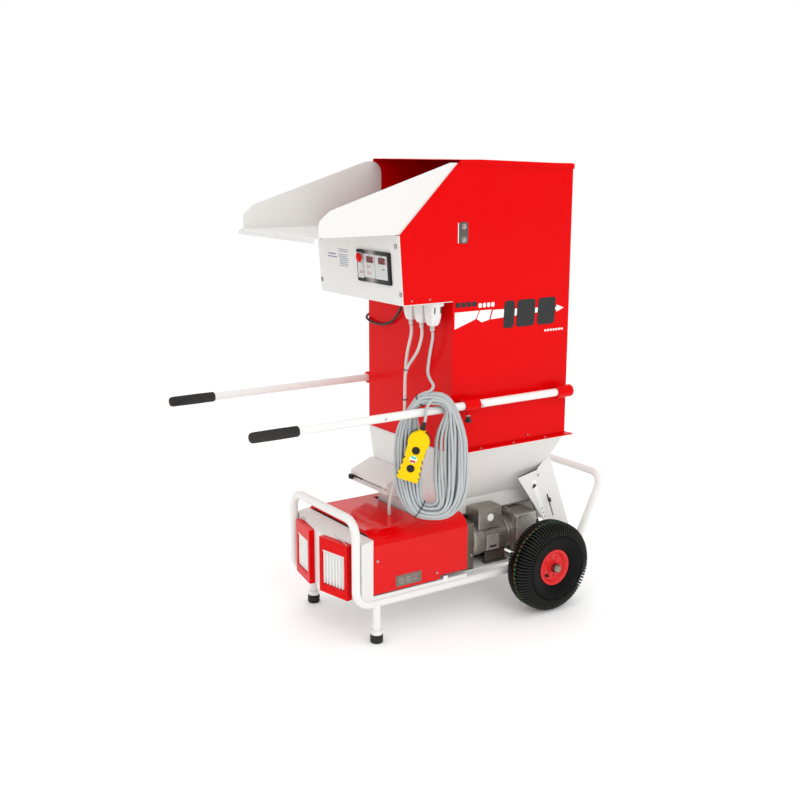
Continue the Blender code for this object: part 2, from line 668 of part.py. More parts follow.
def build_agitator():
    """A shaft with crossed fingers that breaks up the bale above the airlock."""
    y0 = 0.010
    shaft = rod("agitator", (AGITATOR_X, y0, AGITATOR_Z), CHAIN_Y + 0.004 - y0, 0.0090, "Y", 16)
    for i in range(7):
        y = 0.045 + i * 0.060
        turn = i * math.pi / 4
        finger = rod(f"finger_{i}", (AGITATOR_X, y, AGITATOR_Z), 2 * AGITATOR_R, 0.0045, "Z", 8)
        finger.rotation_euler = (0, turn, 0)
        finger.location = Vector(finger.location) - Vector((math.sin(turn), 0, math.cos(turn))) * AGITATOR_R
        join(shaft, finger)
    wheel = sprocket_wheel("agitator_sprocket", AGITATOR_X, AGITATOR_Z, SPROCKET_R["agitator"])
    paint(join(shaft, wheel), "steel")


def chain_loop(offset, count=48):
    """The belt line round the three sprockets: the outermost point in each direction."""
    wheels = ((MOTOR_X, MOTOR_Z, SPROCKET_R["motor"]), (AIRLOCK_X, AIRLOCK_Z, SPROCKET_R["rotor"]),
              (AGITATOR_X, AGITATOR_Z, SPROCKET_R["agitator"]))
    loop = []
    for i in range(count):
        angle = 2 * math.pi * i / count
        dx, dz = math.cos(angle), math.sin(angle)
        x, z, radius = max(wheels, key=lambda wheel: wheel[0] * dx + wheel[1] * dz + wheel[2])
        loop.append((x + (radius + offset) * dx, z + (radius + offset) * dz))
    return loop


def build_drive():
    build_rotor()
    build_agitator()
    chain = plate("drive_chain", chain_loop(0.0050), "XZ", CHAIN_Y, 2 * CHAIN_HALF,
                  holes=[chain_loop(0.0008)])
    paint(chain, "steel")
    sprocket = rod("motor_sprocket", (MOTOR_X, 0.4265, MOTOR_Z), CHAIN_Y + 0.004 - 0.4265, 0.0080, "Y", 16)
    join(sprocket, sprocket_wheel("motor_sprocket_wheel", MOTOR_X, MOTOR_Z, SPROCKET_R["motor"]))
    paint(sprocket, "steel")
    build_gearmotor()


def build_gearmotor():
    """Motor with fan cowl, feet and terminal box, and the gearbox behind it."""
    y0, y1 = 0.150, 0.306
    motor = turned("motor", [
        (0, y1 - y0), (MOTOR_R - 0.004, y1 - y0), (MOTOR_R - 0.004, 0.052), (MOTOR_R, 0.050),
        (MOTOR_R, 0.008), (MOTOR_R - 0.010, 0), (0, 0)], (MOTOR_X, y0, MOTOR_Z), "Y", 28)
    feet = box("motor_feet", (MOTOR_X - 0.040, y0 + 0.055, 0.1458), (MOTOR_X + 0.048, y1 - 0.008, 0.186))
    terminal = box("terminal_box", (0.0895, 0.172, MOTOR_Z + 0.040), (0.158, 0.272, 0.340), bevel=0.006)
    join(motor, feet, terminal)
    paint(motor, "cast")
    gearbox = box("gearbox", (MOTOR_X - 0.0650, y1 + 0.012, 0.166), (MOTOR_X + 0.056, 0.416, 0.302),
                  bevel=0.012)
    flange = rod("gearbox_flange", (MOTOR_X, y1 + GAP, MOTOR_Z), 0.014, 0.0575, "Y", 28)
    shaft_hub = rod("gearbox_hub", (MOTOR_X, 0.41, MOTOR_Z), 0.0160, 0.020, "Y", 16)
    join(gearbox, flange, shaft_hub)
    paint(gearbox, "cast")


def build_chain_cover():
    """Rear hood over the chain: a sloping back between two side plates, notched for the outlet."""
    half = 0.160
    top, foot = (HOPPER_DEPTH + 0.0015, 0.4887), (0.573, 0.2000)
    side = [(0.330, 0.425), (0.414, 0.4407), top, foot, (0.463, 0.2000), (0.4500, 0.2568)]
    back = plate("chain_cover", [top, (top[0] - 0.002, top[1] - 0.0020), (foot[0] - 0.0022, foot[1]), foot],
                 "YZ", 0, 2 * half)
    plates = []
    for name, sign in SIDES:
        plates.append(plate(f"cover_cheek_{name}", side, "YZ", sign * (half - 0.001), 0.002))
    join(back, *plates)
    notch = rod("spigot_notch", (PORT_X, 0.44, PORT_Z + 0.001), 0.2, PORT_R + 0.004, "Y", 24)
    slot = box("side_slot", (half - 0.01, 0.4746, 0.262), (half + 0.01, 0.4806, 0.350), SLOT_TILT)
    cut(back, notch, slot, funnel_shape("funnel_clearance", 0.0008, 0.01))
    paint(back, "white")


SLOT_TILT = (math.atan2(0.109, 0.2887), 0, 0)


def build_side_slider():
    """A black lever on a small plate that slides along the hood's slot."""
    middle = Vector((0.160, 0.4700, 0.3265))
    lever = box("side_slider", middle + Vector((-0.006, -0.0022, -0.007)),
                middle + Vector((0.010, 0.0022, 0.007)), SLOT_TILT)
    inner = middle - Vector((0.0060, 0, 0))
    runner = box("slider_runner", inner + Vector((-0.0015, -0.008, -0.014)),
                 inner + Vector((0.0015, 0.008, 0.014)), SLOT_TILT)
    paint(join(lever, runner), "black")


GATE_LEFT, GATE_RIGHT = -0.186, 0.030
GATE_FRONT = -0.104


def build_gate():
    """Front housing with a long slot, and the gate plate whose knob slides in it."""
    outer = [(-0.0230, 0.4730), (GATE_FRONT, 0.4400), (GATE_FRONT, 0.4050), (-0.0400, 0.3880)]
    inner = [(0.0, 0.4790), (GATE_FRONT + 0.002, 0.4375), (GATE_FRONT + 0.002, 0.4070), (0.0, 0.3790)]
    middle, width = (GATE_LEFT + GATE_RIGHT) / 2, GATE_RIGHT - GATE_LEFT
    housing = plate("gate_housing", outer, "YZ", middle, width)
    hollow = plate("gate_hollow", inner, "YZ", middle, width - 0.004)
    slot = box("gate_slot", (-0.178, GATE_FRONT - 0.01, 0.4190), (0.010, GATE_FRONT + 0.01, 0.4260))
    cut(housing, hollow, slot)
    paint(housing, "white")
    gate = box("gate_slider", (-0.181, GATE_FRONT + 0.0035, 0.4100), (-0.125, GATE_FRONT + 0.0065, 0.4350))
    stem = box("gate_stem", (-0.168, GATE_FRONT - 0.008, 0.4205), (-0.160, GATE_FRONT + 0.005, 0.4245))
    knob = box("gate_knob", (-0.173, GATE_FRONT - 0.017, 0.4140), (-0.155, GATE_FRONT - 0.006, 0.4310),
               bevel=0.003)
    paint(join(gate, stem, knob), "black")


# ---------------------------------------------------------------- blower
FILTER_TURN = math.radians(10.85)
FILTER_W, FILTER_H, FILTER_D = 0.128, 0.177, 0.032
FILTER_Z = 0.227


def filter_place(sign):
    """Where a filter frame's front face has its middle, and its turn about Z."""
    return Vector((sign * 0.095, -0.342, FILTER_Z)), sign * FILTER_TURN


def turned_box(name, centre, size, turn):
    half = Vector(size) / 2
    return box(name, centre - half, centre + half, (0, 0, turn))


def build_blower_housing():
    """White inlet box with a V front and two filter pockets, on a tray under the cover."""
    low, high, rear = 0.1405, 0.333, COVER_FRONT
    wide, neck, step = 0.200, 0.1765, HOOP_Y + TUBE_R + 0.0006
    sheet = 0.003
    right = [(wide, rear), (wide, step), (neck, step - 0.0005), (neck, -0.3072), (0.010, -0.3398)]
    inner = [(wide - sheet, rear + 0.01), (wide - sheet, step + sheet), (neck - sheet, step + sheet - 0.0005),
             (neck - sheet, -0.3040), (0.010, -0.3367)]
    outline, inside = (half + [(-x, y) for x, y in reversed(half)] for half in (right, inner))
    housing = plate("blower_housing", outline, "XY", (low + high) / 2, high - low)
    hollow = plate("housing_hollow", inside, "XY", (low + high - 0.014) / 2, high - low - 0.014 - 2 * sheet)
    slope = box("housing_slope", (-0.3, -0.45, high - 0.001), (0.3, -0.25, high + 0.03))
    slope.rotation_euler = (math.radians(10), 0, 0)
    slope.location = (0, -0.266 - 0.1 * math.cos(math.radians(10)), high + 0.0145 - 0.0178)
    cut(housing, hollow, slope)
    tray = box("blower_tray", (-wide, rear - 0.001, low), (wide, COVER_REAR, low + 0.012))
    join(housing, tray)
    cut(housing, to_mesh(tube("hoop_clearance", front_hoop_path(), TUBE_R + 0.0006, 3)))
    for name, sign in SIDES:
        centre, turn = filter_place(sign)
        inwards = Vector((-math.sin(turn), math.cos(turn), 0))
        pocket = turned_box(f"pocket_{name}", centre + inwards * 0.025,
                            (FILTER_W + 0.001, 0.060, FILTER_H + 0.001), turn)
        cut(housing, pocket)
    paint(housing, "white")


def build_filter(name, sign):
    """A red frame and the pleated element in it, set in a pocket of the blower housing."""
    centre, turn = filter_place(sign)
    outwards = Vector((math.sin(turn), -math.cos(turn), 0))
    middle = centre - outwards * (FILTER_D / 2)
    frame = turned_box(f"filter_frame_{name}", middle, (FILTER_W, FILTER_D, FILTER_H), turn)
    window_w, window_h = 0.100, 0.112
    window_at = middle + Vector((0, 0, -0.006))
    window = turned_box(f"filter_window_{name}", window_at, (window_w, 0.1, window_h), turn)
    cut(frame, window)
    paint(frame, "red")
    pad = turned_box(f"filter_{name}", window_at - outwards * 0.001,
                     (window_w - 0.001, 0.022, window_h - 0.001), turn)
    paint(pad, "filter")


def build_blower_cover():
    """The red sheet bent over the blower, cut away round the funnel's skirt."""
    low = 0.1570
    corners = [Vector((x, z, 0)) for x, z in (
        (COVER_X, low), (COVER_X, COVER_TOP), (-COVER_X, COVER_TOP), (-COVER_X, low))]
    sheet = 0.002
    inner = [Vector((x - math.copysign(sheet, x), z - sheet * (z > 0.3), 0)) for x, z, _ in corners]
    outer_arc = rounded(corners, COVER_BEND, 6)
    inner_arc = rounded(inner, COVER_BEND - sheet, 6)
    outline = [(p.x, p.y) for p in outer_arc + inner_arc[::-1]]
    middle = (COVER_FRONT + GAP + COVER_REAR) / 2
    cover = plate("blower_cover", outline, "XZ", middle, COVER_REAR - COVER_FRONT - GAP)
    opening = box("skirt_opening", (FUNNEL_LEFT - 0.012, -0.055, 0.30), (FUNNEL_RIGHT + 0.012, 0.2, 0.40))
    right_step = box("cover_step", (-0.3, -0.012, 0.15), (0.3, 0.2, 0.1685))
    cut(cover, opening, right_step)
    paint(cover, "red")


def build_turbine(name, sign):
    """A sealed bypass turbine: fan case and motor."""
    turbine = turned(f"turbine_{name}", [
        (0, 0.145), (0.030, 0.145), (0.034, 0.140), (0.034, 0.090), (0.060, 0.084), (0.068, 0.078),
        (0.068, 0.012), (0.060, 0.004), (0.018, 0.000), (0, 0.000)],
        (sign * 0.090, -0.250, 0.2300), "Y", 28)
    paint(turbine, "galvanised")


# ---------------------------------------------------------------- remote control and coil
COIL_U = Vector((math.sin(COIL_TURN), math.cos(COIL_TURN), 0))
COIL_N = Vector((math.cos(COIL_TURN), -math.sin(COIL_TURN), 0))


def power(value, exponent):
    return math.copysign(abs(value) ** exponent, value)


def coil_path(angle):
    """The middle of the bundle: an oval between an ellipse and a rectangle, hung on the handle."""
    across, up = COIL_A * power(math.cos(angle), 2 / 3), COIL_B * power(math.sin(angle), 2 / 3)
    return Vector(COIL_CENTRE) + COIL_U * across + Vector((0, 0, up))


def coil_half_width(angle):
    """Half the bundle's width in the coil's plane: tight over the handle and at the tied foot."""
    side = math.cos(angle) ** 2
    if math.sin(angle) > 0:
        return 0.0215 - 0.048 * side + 0.0685 * side ** 2
    return 0.025 + 0.017 * side


def build_coil():
    """The hung coil's outer shape, as an oval ring of elliptical section."""
    turns, sides = 56, 10
    half_depth = 0.0155
    bm = bmesh.new()
    rings = []
    for i in range(turns):
        angle = 2 * math.pi * (i + 0.5) / turns
        here = coil_path(angle)
        along = (coil_path(angle + 0.01) - coil_path(angle - 0.01)).normalized()
        outward = along.cross(COIL_N).normalized()
        width = coil_half_width(angle)
        depth = half_depth * (1.0 if math.sin(angle) > 0 else 1.0 + 0.5 * abs(math.sin(angle)))
        ring = []
        for j in range(sides):
            turn = 2 * math.pi * j / sides
            ring.append(bm.verts.new(here + outward * width * math.cos(turn) + COIL_N * depth * math.sin(turn)))
        rings.append(ring)
    for i in range(turns):
        a, b = rings[i], rings[(i + 1) % turns]
        for j in range(sides):
            k = (j + 1) % sides
            bm.faces.new((a[j], a[k], b[k], b[j]))
    paint(add_mesh("cable_coil", bm), "cable")
    start = gland_foot(2)
    end = coil_path(math.radians(97)) + Vector((0, 0, 0.0225))
    lead = tube("coil_lead", through([
        start, start + Vector((0.001, 0, -0.028)), (0.196, -0.0655, 0.905), (0.206, -0.0720, 0.870),
        (0.222, -0.0850, 0.830), end + Vector((-0.008, -0.002, 0.022)), end + Vector((-0.001, 0, 0.0035))], 28),
        CABLE_R)
    paint(lead, "cable")


PENDANT_TILT = math.radians(16)


def pendant_frame():
    """The pendant's axes: across, out of its face and up along it, and its head's middle."""
    up = (Vector((0, 0, 1)) * math.cos(PENDANT_TILT) + COIL_U * math.sin(PENDANT_TILT)).normalized()
    across = (-COIL_N).cross(up).normalized()
    frame = Matrix((across, -COIL_N, up)).transposed().to_4x4()
    return Matrix.Translation(Vector((0.2728, -0.1637, 0.5998))) @ frame


def build_pendant():
    """The yellow hand control: a waisted body with a round head, ribbed sides and a cable gland."""
    place = pendant_frame()
    right = [(0.0300, -0.0780), (0.0310, -0.0640), (0.0240, -0.0560), (0.0270, -0.0440), (0.0215, -0.0340),
             (0.0250, -0.0220), (0.0200, -0.0130), (0.0240, -0.0020)]
    head = [(0.0330 * math.cos(math.radians(a)), 0.0460 + 0.0330 * math.sin(math.radians(a)))
            for a in range(-40, 221, 20)]
    outline = right + head + [(-x, y) for x, y in reversed(right)]
    body = plate("pendant", outline, "XZ", 0, 0.034)
    gland = turned("pendant_gland", [(0, 0.030), (0.007, 0.030), (0.010, 0.004), (0.010, 0), (0, 0)],
                   (0, 0, 0.0760), "Z", 16)
    face = -0.017
    buttons = (("start", 0.0200), ("stop", -0.0370))
    for name, z in buttons:
        hole = rod(f"{name}_button_hole", (0, face - 0.01, z), 0.022, 0.0122, "Y", 20)
        hole.parent = body
        cut(body, hole)
        button = turned(f"button_{name}", [
            (0, 0.0090), (0.0090, 0.0085), (0.0115, 0.0065), (0.0115, 0), (0, 0)], (0, 0, 0), "Z", 20)
        button.matrix_world = place @ Matrix.Translation((0, face + 0.0055, z)) @ Matrix.Rotation(
            math.pi / 2, 4, "X")
        paint(button, "black")
    gland.parent = body
    join(body, gland)
    body.matrix_world = place
    paint(body, "yellow")
    leave = place @ Vector((0, 0, 0.1060 + GAP))
    top = coil_path(math.pi / 2)
    wire = tube("pendant_cable", through([
        leave, leave + Vector((0.003, 0.003, 0.015)), (0.300, -0.128, 0.745), (0.296, -0.119, 0.760),
        top + COIL_N * 0.0165], 12), CABLE_R)
    paint(wire, "cable")


# ---------------------------------------------------------------- assembly
def build():
    build_frame()
    for side, sign in SIDES:
        build_wheel(side, sign)
        build_handle(side, sign)
        build_filter(side, sign)
        build_turbine(side, sign)
    build_hopper()
    build_tray()
    build_controls()
    build_connectors()
    build_cables()
    build_funnel()
    build_airlock()
    build_drive()
    build_chain_cover()
    build_side_slider()
    build_gate()
    build_blower_housing()
    build_blower_cover()
    build_coil()
    build_pendant()


clear_scene()
PARTS = new_collection(PARTS_NAME)
CUTTERS = new_collection(CUTTERS_NAME)
build()
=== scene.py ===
"""Visual model of the wheeled insulation blower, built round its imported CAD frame.

Metres, +Z up, -Y towards the operator. The CAD nodes with the right shape keep it and get
procedural materials; the others are replaced by detailed pieces that ride on the same bodies.
"""
import math
import random

import bmesh
import bpy
from mathutils import Matrix, Vector


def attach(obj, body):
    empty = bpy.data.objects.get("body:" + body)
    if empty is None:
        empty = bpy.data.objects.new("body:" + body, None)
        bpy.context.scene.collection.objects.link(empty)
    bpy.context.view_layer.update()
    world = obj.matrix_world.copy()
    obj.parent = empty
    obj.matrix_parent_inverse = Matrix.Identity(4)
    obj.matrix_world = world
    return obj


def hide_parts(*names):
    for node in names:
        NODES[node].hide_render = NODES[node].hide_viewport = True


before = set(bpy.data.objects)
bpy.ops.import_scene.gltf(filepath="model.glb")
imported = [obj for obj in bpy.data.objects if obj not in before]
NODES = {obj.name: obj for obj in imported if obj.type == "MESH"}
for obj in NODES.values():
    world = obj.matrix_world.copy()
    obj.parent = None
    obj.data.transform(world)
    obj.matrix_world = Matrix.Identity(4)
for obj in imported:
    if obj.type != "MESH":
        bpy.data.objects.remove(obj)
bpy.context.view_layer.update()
ROOT = "machine"
SIDES = (("right", 1), ("left", -1))


# ---------------------------------------------------------------- camera
def make_camera():
    azimuth, drop, roll = (math.radians(a) for a in (55.91, 12.346, 0.154))
    data = bpy.data.cameras.new("camera")
    data.sensor_width, data.lens = 36.0, 51.257
    data.clip_start, data.clip_end = 0.05, 50
    camera = bpy.data.objects.new("camera", data)
    turn = (Matrix.Rotation(azimuth, 4, "Z") @ Matrix.Rotation(math.pi / 2 - drop, 4, "X")
            @ Matrix.Rotation(roll, 4, "Z"))
    camera.matrix_world = Matrix.Translation((2.9451, -2.0249, 1.4804)) @ turn
    bpy.context.scene.collection.objects.link(camera)
    bpy.context.scene.camera = camera


make_camera()


# ---------------------------------------------------------------- materials
class Nodes:
    """A Principled material that is built up socket by socket."""

    def __init__(self, name, colour, rough, metallic=0.0, **sockets):
        self.material = bpy.data.materials.new(name)
        self.material.use_nodes = True
        self.tree = self.material.node_tree
        self.shader = self.tree.nodes["Principled BSDF"]
        self.colour = self.shader.inputs["Base Color"]
        self.rough = self.shader.inputs["Roughness"]
        self.colour.default_value = (*colour, 1)
        self.rough.default_value = rough
        self.shader.inputs["Metallic"].default_value = metallic
        for socket, value in sockets.items():
            self.shader.inputs[socket.replace("_", " ")].default_value = value
        self.coords = self.tree.nodes.new("ShaderNodeTexCoord").outputs["Object"]
        self.normal = None

    def add(self, kind, inputs=(), **settings):
        node = self.tree.nodes.new(kind)
        for key, value in settings.items():
            setattr(node, key, value)
        for key, value in dict(inputs).items():
            if isinstance(value, bpy.types.NodeSocket):
                self.tree.links.new(value, node.inputs[key])
            else:
                node.inputs[key].default_value = value
        return node

    def noise(self, scale, detail=3.0, stretch=None, distortion=0.0):
        vector = self.coords
        if stretch:
            vector = self.add("ShaderNodeMapping", {"Vector": vector, "Scale": stretch}).outputs[0]
        return self.add("ShaderNodeTexNoise", {"Vector": vector, "Scale": scale, "Detail": detail,
                                               "Distortion": distortion}).outputs["Fac"]

    def ramp(self, factor, stops):
        node = self.add("ShaderNodeValToRGB", {"Fac": factor})
        ramp = node.color_ramp
        ramp.elements[0].position, ramp.elements[0].color = stops[0][0], (*stops[0][1], 1)
        ramp.elements[1].position, ramp.elements[1].color = stops[-1][0], (*stops[-1][1], 1)
        for position, colour in stops[1:-1]:
            ramp.elements.new(position).color = (*colour, 1)
        return node.outputs["Color"]

    def spread(self, factor, low, high):
        """Maps the middle of a noise to a range."""
        return self.add("ShaderNodeMapRange", {"Value": factor, "From Min": 0.3, "From Max": 0.7,
                                               "To Min": low, "To Max": high}).outputs[0]

    def tint(self, factor, colour, other):
        node = self.add("ShaderNodeMix", {"Factor": factor}, data_type="RGBA")
        node.inputs[6].default_value, node.inputs[7].default_value = (*colour, 1), (*other, 1)
        self.tree.links.new(node.outputs[2], self.colour)

    def bump(self, height, distance, strength=1.0):
        inputs = {"Height": height, "Distance": distance, "Strength": strength}
        if self.normal:
            inputs["Normal"] = self.normal
        self.normal = self.add("ShaderNodeBump", inputs).outputs[0]
        self.tree.links.new(self.normal, self.shader.inputs["Normal"])

    def link(self, socket, value):
        self.tree.links.new(value, socket)


def near(colour, factor):
    return tuple(min(1.0, c * factor) for c in colour)


def surface(name, colour, rough, tone, gloss, grain, metallic=0.0, **sockets):
    """A coloured material. Tone, gloss and grain each hold a noise's scale and detail, then the
    factors of the colour, the range of the roughness, or the bump's distance and strength."""
    m = Nodes(name, colour, rough, metallic, **sockets)
    m.tint(m.noise(*tone[:2]), near(colour, tone[2]), near(colour, tone[3]))
    if gloss:
        m.link(m.rough, m.spread(m.noise(*gloss[:2]), *gloss[2:]))
    m.bump(m.noise(*grain[:2]), *grain[2:])
    return m.material


def powder(name, colour, rough=0.3, vary=0.06, shine=0.5):
    """Powder-coated sheet: a faint orange-peel surface and slow changes of tone and gloss."""
    return surface(name, colour, rough, (3.0, 4.0, 1 - vary, 1 + vary),
                   (9.0, 3.0, rough - 0.05, rough + 0.07), (300.0, 2.0, 0.00005, 0.3),
                   Specular_IOR_Level=shine)


def plastic(name, colour, rough=0.45, grain=260.0, vary=0.08, shine=0.5):
    return surface(name, colour, rough, (14.0, 4.0, 1 - vary, 1 + vary),
                   (30.0, 3.0, rough - 0.06, rough + 0.1), (grain, 3.0, 0.00015, 0.5),
                   Specular_IOR_Level=shine)


def rubber(name, colour, rough=0.75, grain=180.0, shine=0.3):
    return surface(name, colour, rough, (11.0, 5.0, 0.75, 1.6), (24.0, 3.0, rough - 0.12, rough + 0.08),
                   (grain, 5.0, 0.0004, 0.7), Specular_IOR_Level=shine)


def metal(name, colour, rough=0.3, stretch=(1, 1, 40), metallic=1.0, scale=18.0):
    """Drawn or brushed metal, with fine marks along one direction."""
    m = Nodes(name, colour, rough, metallic)
    marks = m.noise(scale, 6.0, stretch)
    m.tint(marks, near(colour, 0.8), near(colour, 1.15))
    m.link(m.rough, m.spread(marks, rough - 0.08, rough + 0.15))
    m.bump(marks, 0.0001, 0.4)
    return m.material


def zinc(name, colour=(0.47, 0.44, 0.39)):
    """Galvanised sheet: angular crystals, each with its own tone and gloss."""
    m = Nodes(name, colour, 0.35, 0.9)
    cells = m.add("ShaderNodeTexVoronoi", {"Vector": m.coords, "Scale": 90.0})
    grey = m.add("ShaderNodeSeparateColor", {"Color": cells.outputs["Color"]}).outputs[0]
    m.tint(grey, near(colour, 0.75), near(colour, 1.25))
    m.link(m.rough, m.spread(grey, 0.28, 0.5))
    m.bump(m.noise(160.0), 0.00015, 0.4)
    return m.material


def cast(name, colour=(0.30, 0.27, 0.235)):
    """Cast aluminium: grainy, with patches of darker and lighter tone."""
    return surface(name, colour, 0.42, (22.0, 6.0, 0.6, 1.3), (60.0, 3.0, 0.3, 0.55),
                   (330.0, 4.0, 0.0004, 0.8), 0.75)


def paper(name, colour=(0.86, 0.86, 0.84)):
    return surface(name, colour, 0.9, (60.0, 6.0, 0.93, 1.04), None,
                   (900.0, 4.0, 0.0002, 0.6), Sheen_Weight=0.2)


def cable_skin(name, colour, rough=0.45):
    return surface(name, colour, rough, (5.0, 5.0, 0.86, 1.08), (40.0, 3.0, rough - 0.08, rough + 0.12),
                   (500.0, 2.0, 0.0001, 0.4))


RED = (0.69, 0.001, 0.002)
WHITE = (0.745, 0.735, 0.71)
M = {
    "red": powder("red_powder", RED, 0.2, 0.03, 0.08),
    "gloss_red": powder("gloss_red", RED, 0.09, 0.03, 0.24),
    "rim_red": powder("rim_red", (0.70, 0.02, 0.022), 0.32, 0.05, 0.3),
    "white": powder("white_powder", WHITE, 0.3, 0.015, 0.25),
    "frame": powder("frame_white", (0.80, 0.795, 0.775), 0.3, 0.015, 0.3),
    "zinc": zinc("galvanised"),
    "steel": metal("bright_steel", (0.62, 0.60, 0.56), 0.28, (1, 1, 12)),
    "cast": cast("cast_grey", (0.36, 0.325, 0.285)),
    "cast_pale": cast("cast_pale", (0.66, 0.63, 0.58)),
    "guard": metal("guard_plate", (0.23, 0.20, 0.165), 0.34, (1, 1, 6)),
    "hub": metal("hub_dome", (0.30, 0.25, 0.20), 0.22, (3, 3, 3)),
    "cast_dark": cast("cast_dark", (0.16, 0.145, 0.13)),
    "black": plastic("black_plastic", (0.014, 0.014, 0.014), 0.42),
    "plug": plastic("plug_white", (0.74, 0.73, 0.71), 0.4, 200.0, 0.04),
    "grip": rubber("grip_foam", (0.020, 0.019, 0.017), 0.8, 420.0, 0.35),
    "rubber": rubber("black_rubber", (0.014, 0.014, 0.014), 0.6),
    "tyre": rubber("tyre_rubber", (0.0030, 0.0032, 0.0030), 0.5, 240.0, 0.10),
    # painted light: a lighter, shinier copy of the tyre rubber for the tread ribs
    "rib": rubber("tyre_rib_painted_light", (0.0080, 0.0084, 0.0078), 0.42, 240.0, 0.28),
    # painted shade: a near-black, matt copy of the tyre rubber for the carcass between the tread ribs
    "groove": rubber("tyre_groove_painted_shade", (0.0008, 0.0008, 0.0008), 0.85, 240.0, 0.0),
    "yellow": plastic("yellow_plastic", (0.86, 0.585, 0.001), 0.35, 300.0, 0.03, 0.12),
    "coil": cable_skin("grey_sheath", (0.47, 0.505, 0.51)),
    "pale_cable": cable_skin("pale_sheath", (0.66, 0.645, 0.61)),
    "black_cable": cable_skin("black_sheath", (0.012, 0.012, 0.012), 0.4),
    "paper": paper("filter_paper"),
    "label_white": plastic("label_white", (0.85, 0.85, 0.84), 0.35, 120.0, 0.01),
    "label_black": plastic("label_black", (0.012, 0.012, 0.014), 0.35, 120.0),
    "label_grey": plastic("label_grey", (0.45, 0.45, 0.44), 0.35, 120.0),
    "membrane": plastic("membrane_grey", (0.60, 0.60, 0.60), 0.38, 300.0, 0.02),
    "glow_red": plastic("window_red", (0.075, 0.002, 0.003), 0.25),
    "print_red": plastic("print_red", (0.62, 0.02, 0.02), 0.35),
    "print_blue": plastic("print_blue", (0.10, 0.13, 0.28), 0.4),
    "print_green": plastic("print_green", (0.05, 0.56, 0.42), 0.35),
    "line_red": plastic("tyre_line_red", (0.60, 0.06, 0.05), 0.6),
    "line_green": plastic("tyre_line_green", (0.05, 0.27, 0.06), 0.6),
}


# ---------------------------------------------------------------- mesh helpers
def finish(obj, material, body=ROOT, smooth=35, bevel=0.0, segments=2):
    """Gives a piece its material, edges, shading and the body that it rides on."""
    if material:
        obj.data.materials.append(M[material])
    if bevel:
        rounding = obj.modifiers.new("edges", "BEVEL")
        rounding.width, rounding.segments, rounding.limit_method = bevel, segments, "ANGLE"
        rounding.angle_limit = math.radians(40)
    if obj.type == "MESH":
        obj.data.shade_smooth()
        obj.data.set_sharp_from_angle(angle=math.radians(smooth))
        if bevel:
            weighted = obj.modifiers.new("normals", "WEIGHTED_NORMAL")
            weighted.keep_sharp = True
    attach(obj, body)
    return obj


def mesh_object(name, bm, materials=()):
    bmesh.ops.recalc_face_normals(bm, faces=bm.faces)
    mesh = bpy.data.meshes.new(name)
    bm.to_mesh(mesh)
    bm.free()
    for key in materials:
        mesh.materials.append(M[key])
    obj = bpy.data.objects.new(name, mesh)
    bpy.context.scene.collection.objects.link(obj)
    return obj


def piece(name, bm, material, slot, smooth=35, bevel=0.0, segments=2, body=ROOT, replaces=False):
    """A finished piece from the mesh, in one material or in several by index."""
    keys = material if isinstance(material, tuple) else (material,)
    obj = finish(mesh_object(name, bm, keys), None, body, smooth, bevel, segments)
    if replaces:
        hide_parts(slot)
    return obj


def thicken(obj, thickness, offset=-1.0):
    solid = obj.modifiers.new("thick", "SOLIDIFY")
    solid.thickness, solid.offset = thickness, offset


def add_box(bm, low, high, turn=None, index=0):
    """A box in the mesh between two corners, optionally moved by a matrix."""
    low, high = Vector(low), Vector(high)
    made = bmesh.ops.create_cube(bm, size=1)["verts"]
    place = Matrix.Translation((low + high) / 2) @ Matrix.Diagonal((*(high - low), 1))
    bmesh.ops.transform(bm, matrix=(turn or Matrix()) @ place, verts=made)
    for face in {f for v in made for f in v.link_faces}:
        face.material_index = index
    return made


def add_rod(bm, start, end, radius, sides=16, tip=None, index=0):
    """A rod or a cone in the mesh from one point to another."""
    start, end = Vector(start), Vector(end)
    along = end - start
    place = Matrix.Translation((start + end) / 2) @ along.to_track_quat("Z", "Y").to_matrix().to_4x4()
    made = bmesh.ops.create_cone(bm, cap_ends=True, segments=sides, radius1=radius,
                                 radius2=radius if tip is None else tip, depth=along.length,
                                 matrix=place)["verts"]
    for face in {f for v in made for f in v.link_faces}:
        face.material_index = index
    return made


def add_turned(bm, profile, place, steps=32, closed=False, index=0):
    """A turned shape in the mesh: (radius, distance along local Z) points, top to bottom."""
    rings = []
    for radius, along in profile:
        if radius < 1e-6:
            rings.append([bm.verts.new(place @ Vector((0, 0, along)))])
            continue
        rings.append([bm.verts.new(place @ Vector((radius * math.cos(2 * math.pi * i / steps),
                                                   radius * math.sin(2 * math.pi * i / steps), along)))
                      for i in range(steps)])
    pairs = list(zip(rings, rings[1:])) + ([(rings[-1], rings[0])] if closed else [])
    for a, b in pairs:
        for i in range(steps):
            j = (i + 1) % steps
            corners = [a[i % len(a)], a[j % len(a)], b[j % len(b)], b[i % len(b)]]
            face = bm.faces.new(list(dict.fromkeys(corners)))
            face.material_index = index
    return rings


def add_prism(bm, outline, place, depth, index=0):
    """A flat outline given thickness along local Z."""
    low = [bm.verts.new(place @ Vector((x, y, 0))) for x, y in outline]
    high = [bm.verts.new(place @ Vector((x, y, depth))) for x, y in outline]
    faces = [bm.faces.new(low[::-1]), bm.faces.new(high)]
    count = len(outline)
    for i in range(count):
        faces.append(bm.faces.new((low[i], low[(i + 1) % count], high[(i + 1) % count], high[i])))
    for face in faces:
        face.material_index = index
    return faces


def add_skin(bm, rings):
    """Faces between neighbouring rings of vertices."""
    for a, b in zip(rings, rings[1:]):
        for i in range(len(a)):
            j = (i + 1) % len(a)
            bm.faces.new((a[i], a[j], b[j], b[i]))


def sideways(x, sign=1):
    """Local X is the machine's Y, local Y is up and local Z points out of the side at this X."""
    return Matrix(((0, 0, sign, x), (1, 0, 0, 0), (0, 1, 0, 0), (0, 0, 0, 1)))


